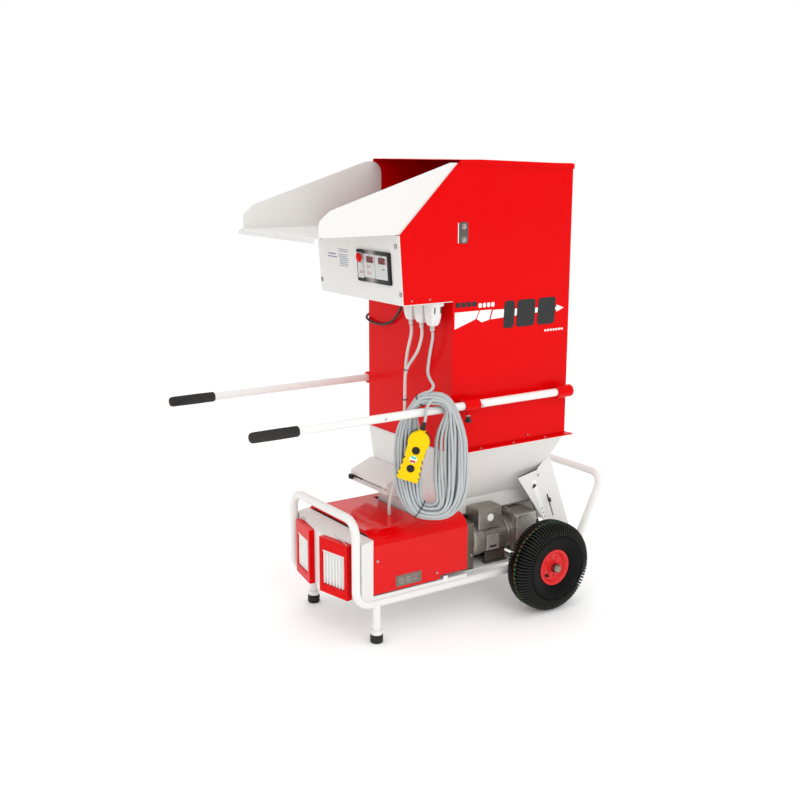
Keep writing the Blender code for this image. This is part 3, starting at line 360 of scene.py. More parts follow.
def drill(obj, place, radius, low, high):
    """Cuts a round hole along local Z between two heights and keeps the result as the mesh."""
    bm = bmesh.new()
    add_turned(bm, [(0, low), (radius, low), (radius, high), (0, high)], place, 32)
    cutter = mesh_object("cutter", bm)
    hole = obj.modifiers.new("hole", "BOOLEAN")
    hole.object, hole.operation, hole.solver = cutter, "DIFFERENCE", "EXACT"
    bpy.context.view_layer.update()
    graph = bpy.context.evaluated_depsgraph_get()
    obj.data = bpy.data.meshes.new_from_object(obj.evaluated_get(graph))
    obj.modifiers.clear()
    bpy.data.objects.remove(cutter)


def through(points, count):
    """Evenly counted points on a smooth curve through the route's own points."""
    knots = [Vector(point) for point in points]
    knots = [2 * knots[0] - knots[1], *knots, 2 * knots[-1] - knots[-2]]
    spans = len(knots) - 3
    curve = []
    for i in range(count + 1):
        place = min(i * spans / count, spans - 1e-9)
        a, b, c, d = knots[int(place):int(place) + 4]
        t = place - int(place)
        curve.append(0.5 * (2 * b + (c - a) * t + (2 * a - 5 * b + 4 * c - d) * t ** 2
                            + (3 * b - a - 3 * c + d) * t ** 3))
    return curve


def wire(name, path, radius, material, resolution=3, cyclic=False):
    curve = bpy.data.curves.new(name, "CURVE")
    curve.dimensions, curve.bevel_depth, curve.bevel_resolution = "3D", radius, resolution
    curve.use_fill_caps = True
    spline = curve.splines.new("POLY")
    spline.points.add(len(path) - 1)
    for point, place in zip(spline.points, path):
        point.co = (*place, 1)
    spline.use_cyclic_u, spline.use_smooth = cyclic, True
    curve.materials.append(M[material])
    obj = bpy.data.objects.new(name, curve)
    bpy.context.scene.collection.objects.link(obj)
    return obj


def length_of(path):
    return sum((Vector(b) - Vector(a)).length for a, b in zip(path, path[1:]))


# ---------------------------------------------------------------- cords
COIL_CENTRE = Vector((0.270, -0.097, 0.589))
COIL_TURN = math.radians(40)
COIL_A, COIL_B = 0.075, 0.1765
COIL_U = Vector((math.sin(COIL_TURN), math.cos(COIL_TURN), 0))
COIL_N = Vector((math.cos(COIL_TURN), -math.sin(COIL_TURN), 0))
CORD_R = 0.0045
COLUMN_ROWS = (1, 3, 4, 4, 4, 3, 3, 2)      # strands in each column of the bundle, outermost first
TURNS = sum(COLUMN_ROWS)
COIL_START = math.radians(98)


def power(value, exponent):
    return math.copysign(abs(value) ** exponent, value)


def coil_place(angle, outward, forward):
    """A point of the coil: out from the bundle's middle line and forward from its plane."""
    def middle(a):
        across = COIL_A * power(math.cos(a), 2 / 3) - widening(a)
        return COIL_CENTRE + COIL_U * across + Vector((0, 0, COIL_B * power(math.sin(a), 2 / 3)))

    along = (middle(angle + 0.02) - middle(angle - 0.02)).normalized()
    return middle(angle) + along.cross(COIL_N).normalized() * outward + COIL_N * forward


def widening(angle):
    """How much wider the bundle's half is where it hangs free in front of the handle."""
    return 0.0145 * max(0.0, math.cos(angle)) ** 2 * (math.cos(angle) ** 2 if math.sin(angle) > 0 else 1.0)


def half_width(angle):
    side = math.cos(angle) ** 2
    if math.sin(angle) > 0:
        return 0.0225 - 0.048 * side + 0.0675 * side ** 2 + widening(angle)
    return 0.025 + 0.017 * side + widening(angle)


def lane(turn):
    """The column and row of a turn in the bundle: to and fro in each column, from outside in."""
    turn = min(turn, TURNS - 1)
    column = 0
    while turn >= COLUMN_ROWS[column]:
        turn -= COLUMN_ROWS[column]
        column += 1
    count = COLUMN_ROWS[column]
    if column % 2 == 0:
        turn = count - 1 - turn
    return column, turn - (count - 1) / 2, turn % 2 - 0.5


def coil_points(per_turn=40):
    draw = random.Random(7)
    wander = [(draw.uniform(0, 6.28), draw.uniform(0, 6.28), draw.uniform(-0.3, 0.3))
              for _ in range(TURNS + 1)]
    last = len(COLUMN_ROWS) - 1
    points = []
    for i in range(int(TURNS * per_turn - 0.04 * per_turn)):
        turn, share = divmod(i, per_turn)
        local = 2 * math.pi * share / per_turn
        angle = COIL_START + local
        change = min(1.0, max(0.0, (math.degrees(angle) - 310) / 96))
        change = change * change * (3 - 2 * change)
        (c0, r0, p0), (c1, r1, p1) = lane(turn), lane(turn + 1)
        column, row = c0 + (c1 - c0) * change, r0 + (r1 - r0) * change
        spacing = (2 * half_width(angle) - 2 * CORD_R) / last
        tight = min(1.0, max(0.0, (2 * CORD_R - spacing) / 0.004))
        stagger = (p0 + (p1 - p0) * change) * max(0.0, spacing - 2 * CORD_R) * min(1.0, column)
        sway = 0.0
        for k, part in ((turn, 1 - change), (turn + 1, change)):
            a, b, c = wander[k]
            sway += part * (c + 0.30 * math.sin(2 * angle + a) + 0.22 * math.sin(5 * angle + b))
        sway *= 0.0030 * min(1.0, column)
        zigzag = math.cos(math.pi * column)
        forward = row * CORD_R * (2.06 + 0.9 * tight) + zigzag * CORD_R * 0.8 * tight
        points.append(coil_place(angle, (last / 2 - column) * spacing + stagger + sway, forward))
    return points


def around_bundle(angle, extra, count=20):
    """A loop round the bundle at an angle of the coil."""
    width, depth = half_width(angle) + extra, 0.0225 + extra
    return [coil_place(angle, width * power(math.cos(2 * math.pi * i / count), 0.8),
                       depth * power(math.sin(2 * math.pi * i / count), 0.8)) for i in range(count)]


def coil_frame(across, forward, height):
    """A point given in the coil's plane, in front of it and at a height."""
    return COIL_CENTRE + COIL_U * across + COIL_N * forward + Vector((0, 0, height - COIL_CENTRE.z))


def relax(path, least=0.021, rounds=400):
    """Eases every bend that is tighter than the least radius, leaving the ends where they are."""
    for _ in range(rounds):
        tight = []
        for i in range(2, len(path) - 2):
            before, after = path[i] - path[i - 1], path[i + 1] - path[i]
            if (before.length + after.length) / 2 < least * before.angle(after):
                tight.append(i)
        if not tight:
            break
        for i in tight:
            path[i] = path[i].lerp((path[i - 1] + path[i + 1]) / 2, 0.5)
    return path


def make_remote_cord():
    turns = coil_points()
    start = Vector((0.194, -0.045, 0.9497))
    lead = through([start, start + Vector((0.0005, -0.0010, -0.022)), (0.1960, -0.0540, 0.895),
                    (0.2010, -0.0640, 0.860), (0.2120, -0.0740, 0.828),
                    turns[0] + COIL_U * 0.018 - COIL_N * 0.026 + Vector((0, 0, 0.0270)),
                    turns[0] + COIL_U * 0.034 - COIL_N * 0.010 + Vector((0, 0, 0.0140)),
                    turns[0] + COIL_U * 0.016 + Vector((0, 0, 0.0030)), turns[0]], 40)
    end = Vector((0.2917, -0.1412, 0.7024))
    tail = through([turns[-1], coil_frame(0.002, 0.031, 0.7720), coil_frame(-0.0090, 0.039, 0.7570),
                    coil_frame(-0.0160, 0.044, 0.7330), end + Vector((0.0018, 0.0023, 0.0150)), end], 24)
    path = relax(lead[:-1] + turns + tail[1:])
    cord = wire("remote_cord", path, CORD_R, "coil", 2)
    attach(cord, ROOT)
    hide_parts("cable_coil", "coil_lead", "pendant_cable")
    return cord, start, length_of(path)


REMOTE_CORD, REMOTE_EXIT, REMOTE_LENGTH = make_remote_cord()


def hood_foot(left, low):
    return Vector((left + 0.0265, -0.045, low - 0.0183))


def make_machine_cords():
    a, b = hood_foot(0.0555, 0.974), hood_foot(0.1115, 0.971)
    main = through([a, a + Vector((-0.001, 0, -0.030)), (0.063, -0.048, 0.860), (0.056, -0.050, 0.780),
                    (0.054, -0.050, 0.700), (0.054, -0.056, 0.560), (0.056, -0.095, 0.440),
                    (0.060, -0.112, 0.385), (0.060, -0.112, 0.3503)], 44)
    branch = through([b, b + Vector((-0.001, 0, -0.025)), (0.120, -0.048, 0.880),
                      (0.072, -0.049, 0.826), (0.0590, -0.050, 0.800)], 20)
    side = through([
        (-0.020, -0.016, 1.0391), (-0.021, -0.014, 1.020), (-0.030, -0.012, 0.988),
        (-0.0775, -0.0095, 0.946), (-0.1304, -0.0085, 0.9286), (-0.178, -0.0085, 0.926),
        (-0.212, -0.0095, 0.930), (-0.241, -0.004, 0.938), (-0.2585, 0.018, 0.946),
        (-0.2600, 0.040, 0.948), (-0.2525, 0.0520, 0.948), (-0.2458, 0.052, 0.948)], 48)
    made = []
    for name, path, radius, skin, node in (
        ("motor_cord", main, 0.0052, "pale_cable", "motor_cables"),
        ("branch_cord", branch, 0.0050, "pale_cable", None),
        ("side_cord", side, 0.0040, "black_cable", "side_cable"),
    ):
        cord = wire(name, path, radius, skin, 3)
        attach(cord, ROOT)
        if node:
            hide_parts(node)
        made.append((cord, path, radius))
    return made


MACHINE_CORDS = make_machine_cords()


def make_ties():
    """Black ties round the coil and the motor cables, one object."""
    loops = [around_bundle(math.radians(112), 0.0022), around_bundle(math.radians(250), 0.0022)]
    for x, y, z in ((0.0600, -0.0495, 0.812), (0.0543, -0.050, 0.716)):
        loops.append([Vector((x + 0.0078 * math.cos(2 * math.pi * i / 16),
                              y + 0.0070 * math.sin(2 * math.pi * i / 16), z)) for i in range(16)])
    curve = bpy.data.curves.new("cable_ties", "CURVE")
    curve.dimensions, curve.bevel_depth, curve.bevel_resolution = "3D", 0.0017, 1
    for loop in loops:
        spline = curve.splines.new("POLY")
        spline.points.add(len(loop) - 1)
        for point, place in zip(spline.points, loop):
            point.co = (*place, 1)
        spline.use_cyclic_u = True
    obj = bpy.data.objects.new("cable_ties", curve)
    bpy.context.scene.collection.objects.link(obj)
    finish(obj, "black")


make_ties()


# ---------------------------------------------------------------- CAD nodes that keep their shape
FINISHES = {
    "red": "hopper_front hopper_rear hopper_side_left hopper_side_right lid sleeve_front_left "
           "sleeve_front_right sleeve_rear_left sleeve_rear_right filter_frame_left "
           "filter_frame_right",
    "gloss_red": "blower_cover",
    "white": "feed_tray control_panel funnel chain_cover gate_housing blower_housing base_plate",
    "frame": "front_hoop rear_hoop rail_left rail_right handle_left handle_right",
    "zinc": "airlock_housing",
    "steel": "axle airlock_rotor agitator motor_sprocket",
    "black": "gate_slider side_slider",
    "rubber": "foot_left foot_right",
    "cast": "gearbox",
    "cast_dark": "turbine_left turbine_right",
}
for finish_name, names in FINISHES.items():
    for node_name in names.split():
        node = NODES[node_name]
        node.data.materials.clear()
        node.data.materials.append(M[finish_name])
        node.data.shade_smooth()
        node.data.set_sharp_from_angle(angle=math.radians(32))


# ---------------------------------------------------------------- wheels
WHEEL_X, WHEEL_Y, WHEEL_Z = 0.279, 0.37, 0.15


def wheel_frame(sign):
    """Local Z is the axle, pointing outwards."""
    return (Matrix.Translation((sign * WHEEL_X, WHEEL_Y, WHEEL_Z))
            @ Matrix.Rotation(sign * math.pi / 2, 4, "Y"))


def add_rib(bm, place, angle, rows, face, deep=0.0105):
    """A tread rib across the tyre: rows are (radius, across, half width) from crown to sidewall."""
    rings = []
    for k, (radius, across, half) in enumerate(rows):
        ring = []
        lean = math.radians(6 + 78 * k / (len(rows) - 1))
        for sunk, share in ((deep * (1 - 0.06 * k), 1.2), (0.0009, 1.0), (0.0, 0.70)):
            r, z = radius - sunk * math.cos(lean), across - sunk * math.sin(lean)
            for turn in (angle - half * share / radius, angle + half * share / radius):
                ring.append(place @ Vector((r * math.cos(turn), r * math.sin(turn), face * z)))
        rings.append([bm.verts.new(ring[i]) for i in (0, 2, 4, 5, 3, 1)])
    add_skin(bm, rings)
    bm.faces.new(rings[0][::-1])
    bm.faces.new(rings[-1])


def make_tyre(side, sign):
    place = wheel_frame(sign)
    half = [(0.0600, 0.0290), (0.0622, 0.0338), (0.0660, 0.0362), (0.0700, 0.0368), (0.0790, 0.0398),
            (0.0890, 0.0428), (0.0980, 0.0444), (0.1040, 0.0446), (0.1060, 0.0440), (0.1075, 0.0420),
            (0.1150, 0.0402), (0.1230, 0.0375), (0.1300, 0.0330), (0.1355, 0.0270), (0.1385, 0.0200),
            (0.1395, 0.0150)]
    crown = [(0.1395, 0.0126), (0.1490, 0.0116), (0.1494, 0.0030), (0.1476, 0.0022), (0.1476, -0.0006),
             (0.1494, -0.0014), (0.1492, -0.0106), (0.1395, -0.0116)]
    profile = half + crown + [(r, -z) for r, z in reversed(half)]
    bm = bmesh.new()
    add_turned(bm, profile, place, 120, closed=True)
    back = place.inverted()
    # painted shade: the carcass faces between the shoulder ribs take the darker groove rubber
    for face in bm.faces:
        x, y, z = back @ face.calc_center_median()
        if abs(z) > 0.0118 and math.hypot(x, y) > 0.1068:
            face.material_index = 1
    ribs = 84
    shoulder = [(0.1484, 0.0132, 0.0026), (0.1490, 0.0185, 0.0029), (0.1474, 0.0268, 0.0031),
                (0.1434, 0.0345, 0.0031), (0.1362, 0.0406, 0.0029), (0.1270, 0.0444, 0.0026),
                (0.1170, 0.0456, 0.0023), (0.1085, 0.0452, 0.0020)]
    for i in range(ribs):
        for side_face in (1, -1):
            angle = 2 * math.pi * (i + (0.5 if side_face < 0 else 0.0)) / ribs
            add_rib(bm, place, angle, shoulder, side_face)
    # painted light: the ribs take the lighter rib rubber
    for face in bm.faces[-ribs * 2 * (6 * (len(shoulder) - 1) + 2):]:
        face.material_index = 2
    piece(f"tyre_detail_{side}", bm, ("tyre", "groove", "rib"), f"tyre_{side}", 30,
          body=f"wheel_{side}", replaces=True)
    lines = bmesh.new()
    dashes, wide = 60, 0.0024
    for radius, across, index in ((0.14945, 0.0085, 1), (0.14775, 0.0008, 0)):
        for i in range(dashes):
            dash = []
            for turn in (i - 0.30, i, i + 0.30):
                angle = 2 * math.pi * turn / dashes
                x, y = radius * math.cos(angle), radius * math.sin(angle)
                dash.append([lines.verts.new(place @ Vector((x, y, across + d)))
                             for d in (-wide / 2, wide / 2)])
            for a, b in zip(dash, dash[1:]):
                lines.faces.new((a[0], b[0], b[1], a[1])).material_index = index
    painted = mesh_object(f"tyre_lines_{side}", lines, ("line_red", "line_green"))
    thicken(painted, 0.0005, 0.0)
    finish(painted, None, f"wheel_{side}")


def make_rim(side, sign):
    place = wheel_frame(sign)
    bm = bmesh.new()
    half = [(0.0118, 0.0320), (0.0195, 0.0320), (0.0205, 0.0310), (0.0208, 0.0235), (0.0225, 0.0215),
            (0.0400, 0.0205), (0.0440, 0.0215), (0.0475, 0.0262), (0.0500, 0.0305), (0.0535, 0.0334),
            (0.0575, 0.0345), (0.0600, 0.0338), (0.0600, 0.0290), (0.0540, 0.0285)]
    bore = [(0.0097, 0.0310)]
    profile = bore + half + [(r, -z) for r, z in reversed(half)] + [(r, -z) for r, z in reversed(bore)]
    add_turned(bm, profile, place, 72, closed=True)
    for i in range(8):
        for face in (1, -1):
            spin = place @ Matrix.Rotation(math.radians(12 + 45 * i), 4, "Z")
            z0, z1 = sorted((face * 0.0195, face * 0.0236))
            add_box(bm, (0.0255, -0.0011, z0), (0.0385, 0.0011, z1), spin)
    piece(f"rim_detail_{side}", bm, "rim_red", f"rim_{side}", 30, 0.0004, 1,
          body=f"wheel_{side}", replaces=True)
    bm = bmesh.new()
    spin = place @ Matrix.Rotation(math.radians(-42), 4, "Z")
    add_turned(bm, [(0, 0.0345), (0.0024, 0.0340), (0.0028, 0.0320), (0.0028, 0.0235), (0.0062, 0.0226),
                    (0.0066, 0.0200), (0, 0.0200)], spin @ Matrix.Translation((0.0355, 0, 0)), 18)
    piece(f"valve_{side}", bm, "rubber", f"rim_{side}", body=f"wheel_{side}")
    bm = bmesh.new()
    add_turned(bm, [(0, 0.0524), (0.0070, 0.0523), (0.0104, 0.0518), (0.0128, 0.0502), (0.0146, 0.0464),
                    (0.0156, 0.0410), (0.0158, 0.0335), (0.0150, 0.0323), (0, 0.0323)], place, 40)
    piece(f"hub_cap_{side}", bm, "hub", "axle", 60)


def make_wheels():
    for side, sign in SIDES:
        make_tyre(side, sign)
        make_rim(side, sign)


make_wheels()


# ---------------------------------------------------------------- grips and plungers
HANDLE_X, HANDLE_Z, HANDLE_R = 0.270, 0.7265, 0.0125


def make_grips():
    for side, sign in SIDES:
        place = Matrix.Translation((sign * HANDLE_X, -0.70, HANDLE_Z)) @ Matrix.Rotation(-math.pi / 2, 4, "X")
        bm = bmesh.new()
        profile = [(0, 0.0002), (0.0085, 0.0002), (0.0118, 0.0012), (0.0142, 0.0042), (0.0152, 0.0090)]
        for i in range(12):
            z = 0.012 + i * 0.0112
            profile += [(0.0154 - 0.0004 * math.cos(i * 0.5), z), (0.0156, z + 0.005)]
        profile += [(0.0153, 0.1440), (0.0140, 0.1464), (0.0128, 0.1464), (0, 0.1464)]
        add_turned(bm, profile, place, 36)
        piece(f"grip_detail_{side}", bm, "grip", f"grip_{side}", 60, body=f"handle_{side}", replaces=True)


def make_plungers():
    for side, sign in SIDES:
        top = Matrix.Translation((sign * HANDLE_X, 0.036, HANDLE_Z - 0.0130))
        bm = bmesh.new()
        add_turned(bm, [(0, 0), (0.0034, -0.0004), (0.0036, -0.0180), (0.0036, -0.0195), (0, -0.0195)],
                   top, 20)
        add_turned(bm, [(0, -0.0172), (0.0062, -0.0172), (0.0068, -0.0180), (0.0068, -0.0202), (0, -0.0202)],
                   top, 6)
        piece(f"plunger_pin_{side}", bm, "steel", f"index_plunger_{side}", body=f"plunger_{side}")
        bm = bmesh.new()
        add_turned(bm, [(0, -0.0195), (0.0058, -0.0195), (0.0066, -0.0204), (0.0064, -0.0270),
                        (0.0074, -0.0300), (0.0100, -0.0316), (0.0104, -0.0330), (0.0104, -0.0365),
                        (0.0096, -0.0385),
                        (0.0070, -0.0402), (0, -0.0402)], top, 40)
        for i in range(16):
            spin = top @ Matrix.Rotation(2 * math.pi * i / 16, 4, "Z")
            add_rod(bm, spin @ Vector((0.0098, 0, -0.0320)), spin @ Vector((0.0098, 0, -0.0382)), 0.0007, 6)
        piece(f"plunger_knob_{side}", bm, "black", f"index_plunger_{side}",
              body=f"plunger_{side}", replaces=True)


make_grips()
make_plungers()


# ---------------------------------------------------------------- control panel
PANEL_LEAN = math.atan2(0.015, 0.202)


def panel_frame():
    """Local X is the machine's X, local Y is up the panel and local Z is out of its face."""
    foot = Vector((0, -0.1796, 1.0420))
    up = Vector((0, -0.015, 0.202)).normalized()
    return Matrix.Translation(foot) @ Matrix((Vector((1, 0, 0)), up, Vector((1, 0, 0)).cross(up))
                                             ).transposed().to_4x4()


def panel_height(z):
    return (z - 1.0420) / math.cos(PANEL_LEAN)


PANEL = panel_frame()
PANEL_SCREWS = ((0.212, 1.212), (0.2245, 1.0725), (-0.225, 1.077), (-0.212, 1.212))
WINDOWS = (0.0770, 0.1420)         # the two digit windows, across the panel


def rounded_rectangle(x0, y0, x1, y1, radius, steps=5):
    points = []
    for cx, cy, start in ((x1 - radius, y1 - radius, 0), (x0 + radius, y1 - radius, 90),
                          (x0 + radius, y0 + radius, 180), (x1 - radius, y0 + radius, 270)):
        for i in range(steps + 1):
            angle = math.radians(start + 90 * i / steps)
            points.append((cx + radius * math.cos(angle), cy + radius * math.sin(angle)))
    return points


def make_display():
    low, high = panel_height(1.095), panel_height(1.191)
    left, right = 0.0030, 0.1845
    lift = Matrix.Translation((0, 0, 0.0004))
    bm = bmesh.new()
    outer = rounded_rectangle(left, low, right, high, 0.004)
    inner = rounded_rectangle(left + 0.0035, low + 0.0035, right - 0.0035, high - 0.0035, 0.002)
    rings = []
    for outline, height in ((outer, 0.0), (outer, 0.0048), (inner, 0.0060), (inner, 0.0052)):
        rings.append([bm.verts.new(PANEL @ lift @ Vector((x, y, height))) for x, y in outline])
    add_skin(bm, rings)
    bm.faces.new(rings[0][::-1])
    bm.faces.new(rings[-1])
    display = mesh_object("display_case", bm)
    finish(display, None, ROOT, 30)
    display.data.materials.append(display_painted_glare())
    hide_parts("display")

    def flat(name, outlines, material, height, depth=0.0005, body=ROOT):
        bm = bmesh.new()
        for outline in outlines:
            add_prism(bm, outline, PANEL @ Matrix.Translation((0, 0, height)), depth)
        return piece(name, bm, material, "display", body=body)

    y0, y1 = low + 0.0125, high - 0.0125
    pale = [rounded_rectangle(left + 0.0050, y0 - 0.002, 0.0400, y1 + 0.003, 0.002),
            rounded_rectangle(0.0425, y0 + 0.0020, 0.1040, y1 + 0.0015, 0.002),
            rounded_rectangle(0.1060, y0 + 0.0015, 0.1700, y1 + 0.0010, 0.002)]
    flat("display_membrane", pale, "membrane", 0.0056, 0.0006)
    top = panel_height(1.164)
    windows = [rounded_rectangle(x - 0.0175, top - 0.0095, x + 0.0175, top + 0.0095, 0.001) for x in WINDOWS]
    flat("digit_windows", windows, "glow_red", 0.0060, 0.0007)
    bars = []
    for x in WINDOWS:
        for digit in (-0.0088, 0.0, 0.0088):
            for dy in (-0.0046, 0.0, 0.0046):
                bars.append(rounded_rectangle(x + digit - 0.0022, top + dy - 0.00045, x + digit + 0.0022,
                                              top + dy + 0.00045, 0.0002, 1))
            for dy in (-0.0023, 0.0023):
                bars.append(rounded_rectangle(x + digit + 0.0023, top + dy - 0.0017, x + digit + 0.0031,
                                              top + dy + 0.0017, 0.0002, 1))
    flat("digit_bars", bars, "print_red", 0.0065, 0.0005)
    keys, marks = [], []
    for x in (0.0985, 0.1640):
        for dy in (0.0050, -0.0055):
            keys.append(rounded_rectangle(x - 0.0015, top + dy - 0.0026, x + 0.0020, top + dy + 0.0026,
                                          0.0012))
    for x, z in ((0.0660, 1.1430), (0.0660, 1.1230), (0.0250, 1.1235)):
        centre = panel_height(z)
        for k in range(10):
            a0, a1 = (2 * math.pi * (k + t) / 10 for t in (0.0, 0.72))
            keys.append([(x + r * math.cos(a), centre + r * math.sin(a))
                         for r, a in ((0.0032, a0), (0.0032, a1), (0.0046, a1), (0.0046, a0))])
        marks.append(rounded_rectangle(x + 0.0085, centre - 0.0010, x + 0.0165, centre + 0.0012, 0.0005, 1))
    marks.append(rounded_rectangle(0.1440, panel_height(1.1385), 0.1560, panel_height(1.1410), 0.0005, 1))
    for x in (0.070, 0.136):
        marks.append(rounded_rectangle(x, top + 0.0125, x + 0.010, top + 0.0138, 0.0004, 1))
    marks.append(rounded_rectangle(0.006, panel_height(1.1815), 0.024, panel_height(1.1832), 0.0004, 1))
    flat("display_keys", keys, "print_red", 0.0060, 0.0008)
    flat("display_marks", marks, "label_black", 0.0060, 0.0005)


def display_painted_glare():
    """A dark glossy bezel with a painted pale glare: a painted reflection in the base colour, in a band that
    crosses the upper and lower bars.
    """
    m = Nodes("display_painted_glare", (0.012, 0.012, 0.013), 0.10, Specular_IOR_Level=0.16)
    split = m.add("ShaderNodeSeparateXYZ", {"Vector": m.coords}).outputs[0]
    along = m.add("ShaderNodeMapRange", {"Value": split, "From Min": 0.0030, "From Max": 0.1845}).outputs[0]
    # painted reflection: a pale band in the base colour along the bezel's length
    glare = m.ramp(along,
                   [(0.0, (0.006, 0.006, 0.006)), (0.22, (0.012, 0.012, 0.012)), (0.45, (0.36, 0.33, 0.30)),
                    (0.62, (0.05, 0.05, 0.05)), (1.0, (0.010, 0.010, 0.010))])
    m.link(m.colour, glare)
    m.link(m.rough, m.spread(m.noise(40.0), 0.08, 0.16))
    m.bump(m.noise(30.0), 0.00005, 0.2)
    return m.material


STOP_X = 0.0290


def make_stop():
    place = PANEL @ Matrix.Translation((STOP_X, panel_height(1.168), 0))
    bm = bmesh.new()
    add_turned(bm, [(0, 0.0188), (0.0060, 0.0185), (0.0108, 0.0174), (0.0136, 0.0157), (0.0145, 0.0139),
                    (0.0141, 0.0131), (0.0124, 0.0126), (0.0066, 0.0126), (0.0054, 0.0122), (0.0054, 0.0120),
                    (0, 0.0120)], place, 40)
    piece("stop_button", bm, "red", "emergency_stop", 60, body="stop", replaces=True)
    bm = bmesh.new()
    ring = Matrix.Translation((0.0012, -0.0035, 0))
    add_turned(bm, [(0.0125, 0.0064), (0.0140, 0.0074), (0.0155, 0.0064), (0.0155, 0.0058), (0.0125, 0.0058)],
               place @ ring, 40, closed=True)
    piece("stop_ring", bm, "label_grey", "display")


def make_screw(bm, place, radius=0.0055):
    add_turned(bm, [(0, 0.0010), (radius * 0.42, 0.0010), (radius * 0.46, 0.0030), (radius * 0.72, 0.0032),
                    (radius * 0.95, 0.0022), (radius, 0.0008), (radius, -0.0002)], place, 20)


def make_panel_details():
    bm = bmesh.new()
    for x, z in PANEL_SCREWS:
        make_screw(bm, PANEL @ Matrix.Translation((x, panel_height(z), 0.0002)))
    piece("panel_screws", bm, "steel", "control_panel")
    bm = bmesh.new()
    for x, z in PANEL_SCREWS:
        add_turned(bm, [(0.0066, 0.0001), (0.0072, 0.0008), (0.0056, 0.0010), (0.0050, 0.0001)],
                   PANEL @ Matrix.Translation((x, panel_height(z), 0.0)), 20, closed=True)
    piece("panel_washers", bm, "label_black", "control_panel")
    draw = random.Random(3)
    bm = bmesh.new()
    blocks = [(1.1650, -0.1730, -0.1290, 0.0015), (1.1560, -0.1770, -0.1220, 0.0015)]
    for k in range(9):
        z = 1.1820 - k * 0.0058 - (0.004 if k > 1 else 0.0)
        blocks.append((z, -0.1120 + draw.uniform(0, 0.008), -0.0510 - draw.uniform(0, 0.008), 0.0008))
    for z, start, stop, half in blocks:
        while start < stop - 0.003:
            end = min(stop, start + draw.uniform(0.004, 0.011))
            add_prism(bm, rounded_rectangle(start, panel_height(z) - half, end, panel_height(z) + half,
                                            0.0003, 1), PANEL @ Matrix.Translation((0, 0, 0.0001)), 0.0004)
            start = end + draw.uniform(0.001, 0.002)
    piece("panel_print", bm, "print_blue", "control_panel")


make_display()
make_stop()
make_panel_details()


# ---------------------------------------------------------------- connectors
HOODS = ((0.0555, 0.974), (0.1115, 0.971), (0.1675, 0.968))
HOOD_TOP, HOOD_WIDE = 1.0392, 0.0530


def make_connectors():
    bm = bmesh.new()
    add_box(bm, (0.0560, -0.0655, 1.0275), (0.2215, -0.0245, HOOD_TOP - 0.0002))
    for left, low in HOODS:
        levels = [(0.0, 0.0, 1.0290), (0.0006, 0.0, low + 0.0400), (0.0022, 0.0010, low + 0.0230),
                  (0.0065, 0.0040, low + 0.0060), (0.0105, 0.0060, low)]
        rings = []
        for inset, depth, z in levels:
            outline = rounded_rectangle(left + 0.0035 + inset, -0.0630 + depth,
                                        left + HOOD_WIDE - 0.0035 - inset, -0.0270 - depth, 0.0055)
            rings.append([bm.verts.new((x, y, z)) for x, y in outline])
        add_skin(bm, rings)
        bm.faces.new(rings[0])
        bm.faces.new(rings[-1][::-1])
        middle = left + HOOD_WIDE / 2
        for dx in (-0.0110, 0.0110):
            add_box(bm, (middle + dx - 0.0012, -0.0642, low + 0.028), (middle + dx + 0.0012, -0.0622, 1.0260))
        add_box(bm, (middle - 0.0045, -0.0642, low + 0.030), (middle + 0.0045, -0.0622, low + 0.044))
    piece("connector_hoods", bm, "plug", "connectors", 40, 0.0008, replaces=True)
    bm = bmesh.new()
    right = HOODS[-1][0] + HOOD_WIDE - 0.0035
    outline = [(right - 0.002, 1.0250), (right + 0.0012, 1.0250), (right + 0.0018, 1.0140),
               (right + 0.0005, 1.0060), (right - 0.002, 1.0060)]
    for y in (-0.0560, -0.0340):
        low = [bm.verts.new((x, y, z)) for x, z in outline]
        high = [bm.verts.new((x, y + 0.003, z)) for x, z in outline]
        bm.faces.new(low)
        bm.faces.new(high[::-1])
        for i in range(len(outline)):
            j = (i + 1) % len(outline)
            bm.faces.new((low[i], high[i], high[j], low[j]))
    piece("connector_latch", bm, "black", "connectors")
    bm = bmesh.new()
    for left, low in HOODS:
        middle = Matrix.Translation((left + 0.0265, -0.045, low))
        add_turned(bm, [(0, 0.002), (0.0085, 0.002), (0.0085, -0.0070), (0.0082, -0.0074), (0.0078, -0.0078),
                        (0.0084, -0.0084), (0.0084, -0.0130), (0.0070, -0.0165), (0.0056, -0.0182),
                        (0, -0.0182)],
                   middle, 12)
    piece("connector_glands", bm, "steel", "connectors", 25)


make_connectors()


# ---------------------------------------------------------------- hand control
PENDANT_TILT = math.radians(16)
BUTTON_HEIGHTS = (0.0200, -0.0370)         # the start and the stop button, up the hand control


def pendant_frame():
    up = (Vector((0, 0, 1)) * math.cos(PENDANT_TILT) + COIL_U * math.sin(PENDANT_TILT)).normalized()
    across = (-COIL_N).cross(up).normalized()
    place = Matrix((across, -COIL_N, up)).transposed().to_4x4()
    return Matrix.Translation((0.2728, -0.1637, 0.5998)) @ place


def pendant_outline(grow):
    """The half outline, bottom to top: waves down each side below a round head."""
    right = [(0.0150, -0.0780), (0.0262, -0.0778), (0.0306, -0.0762), (0.0332, -0.0728), (0.0338, -0.0690)]
    for i in range(25):
        z = -0.0650 + i * 0.0027
        wave = 0.5 + 0.5 * math.cos(z * 2 * math.pi / 0.0190)
        waist = 0.0246 + 0.0046 * max(0.0, (-z - 0.015) / 0.050) + 0.0048 * wave
        right.append((waist, z))
    head = [(0.0326 * math.cos(math.radians(a)), 0.0460 + 0.0326 * math.sin(math.radians(a)))
            for a in range(-27, 90, 9)]
    side = [(x + grow, z + grow * (-1 if z < -0.077 else 0)) for x, z in right]
    side += [(x * (1 + grow / 0.0326), 0.046 + (z - 0.046) * (1 + grow / 0.0326)) for x, z in head]
    return side + [(0.0, 0.046 + 0.0326 + grow)] + [(-x, z) for x, z in reversed(side)]


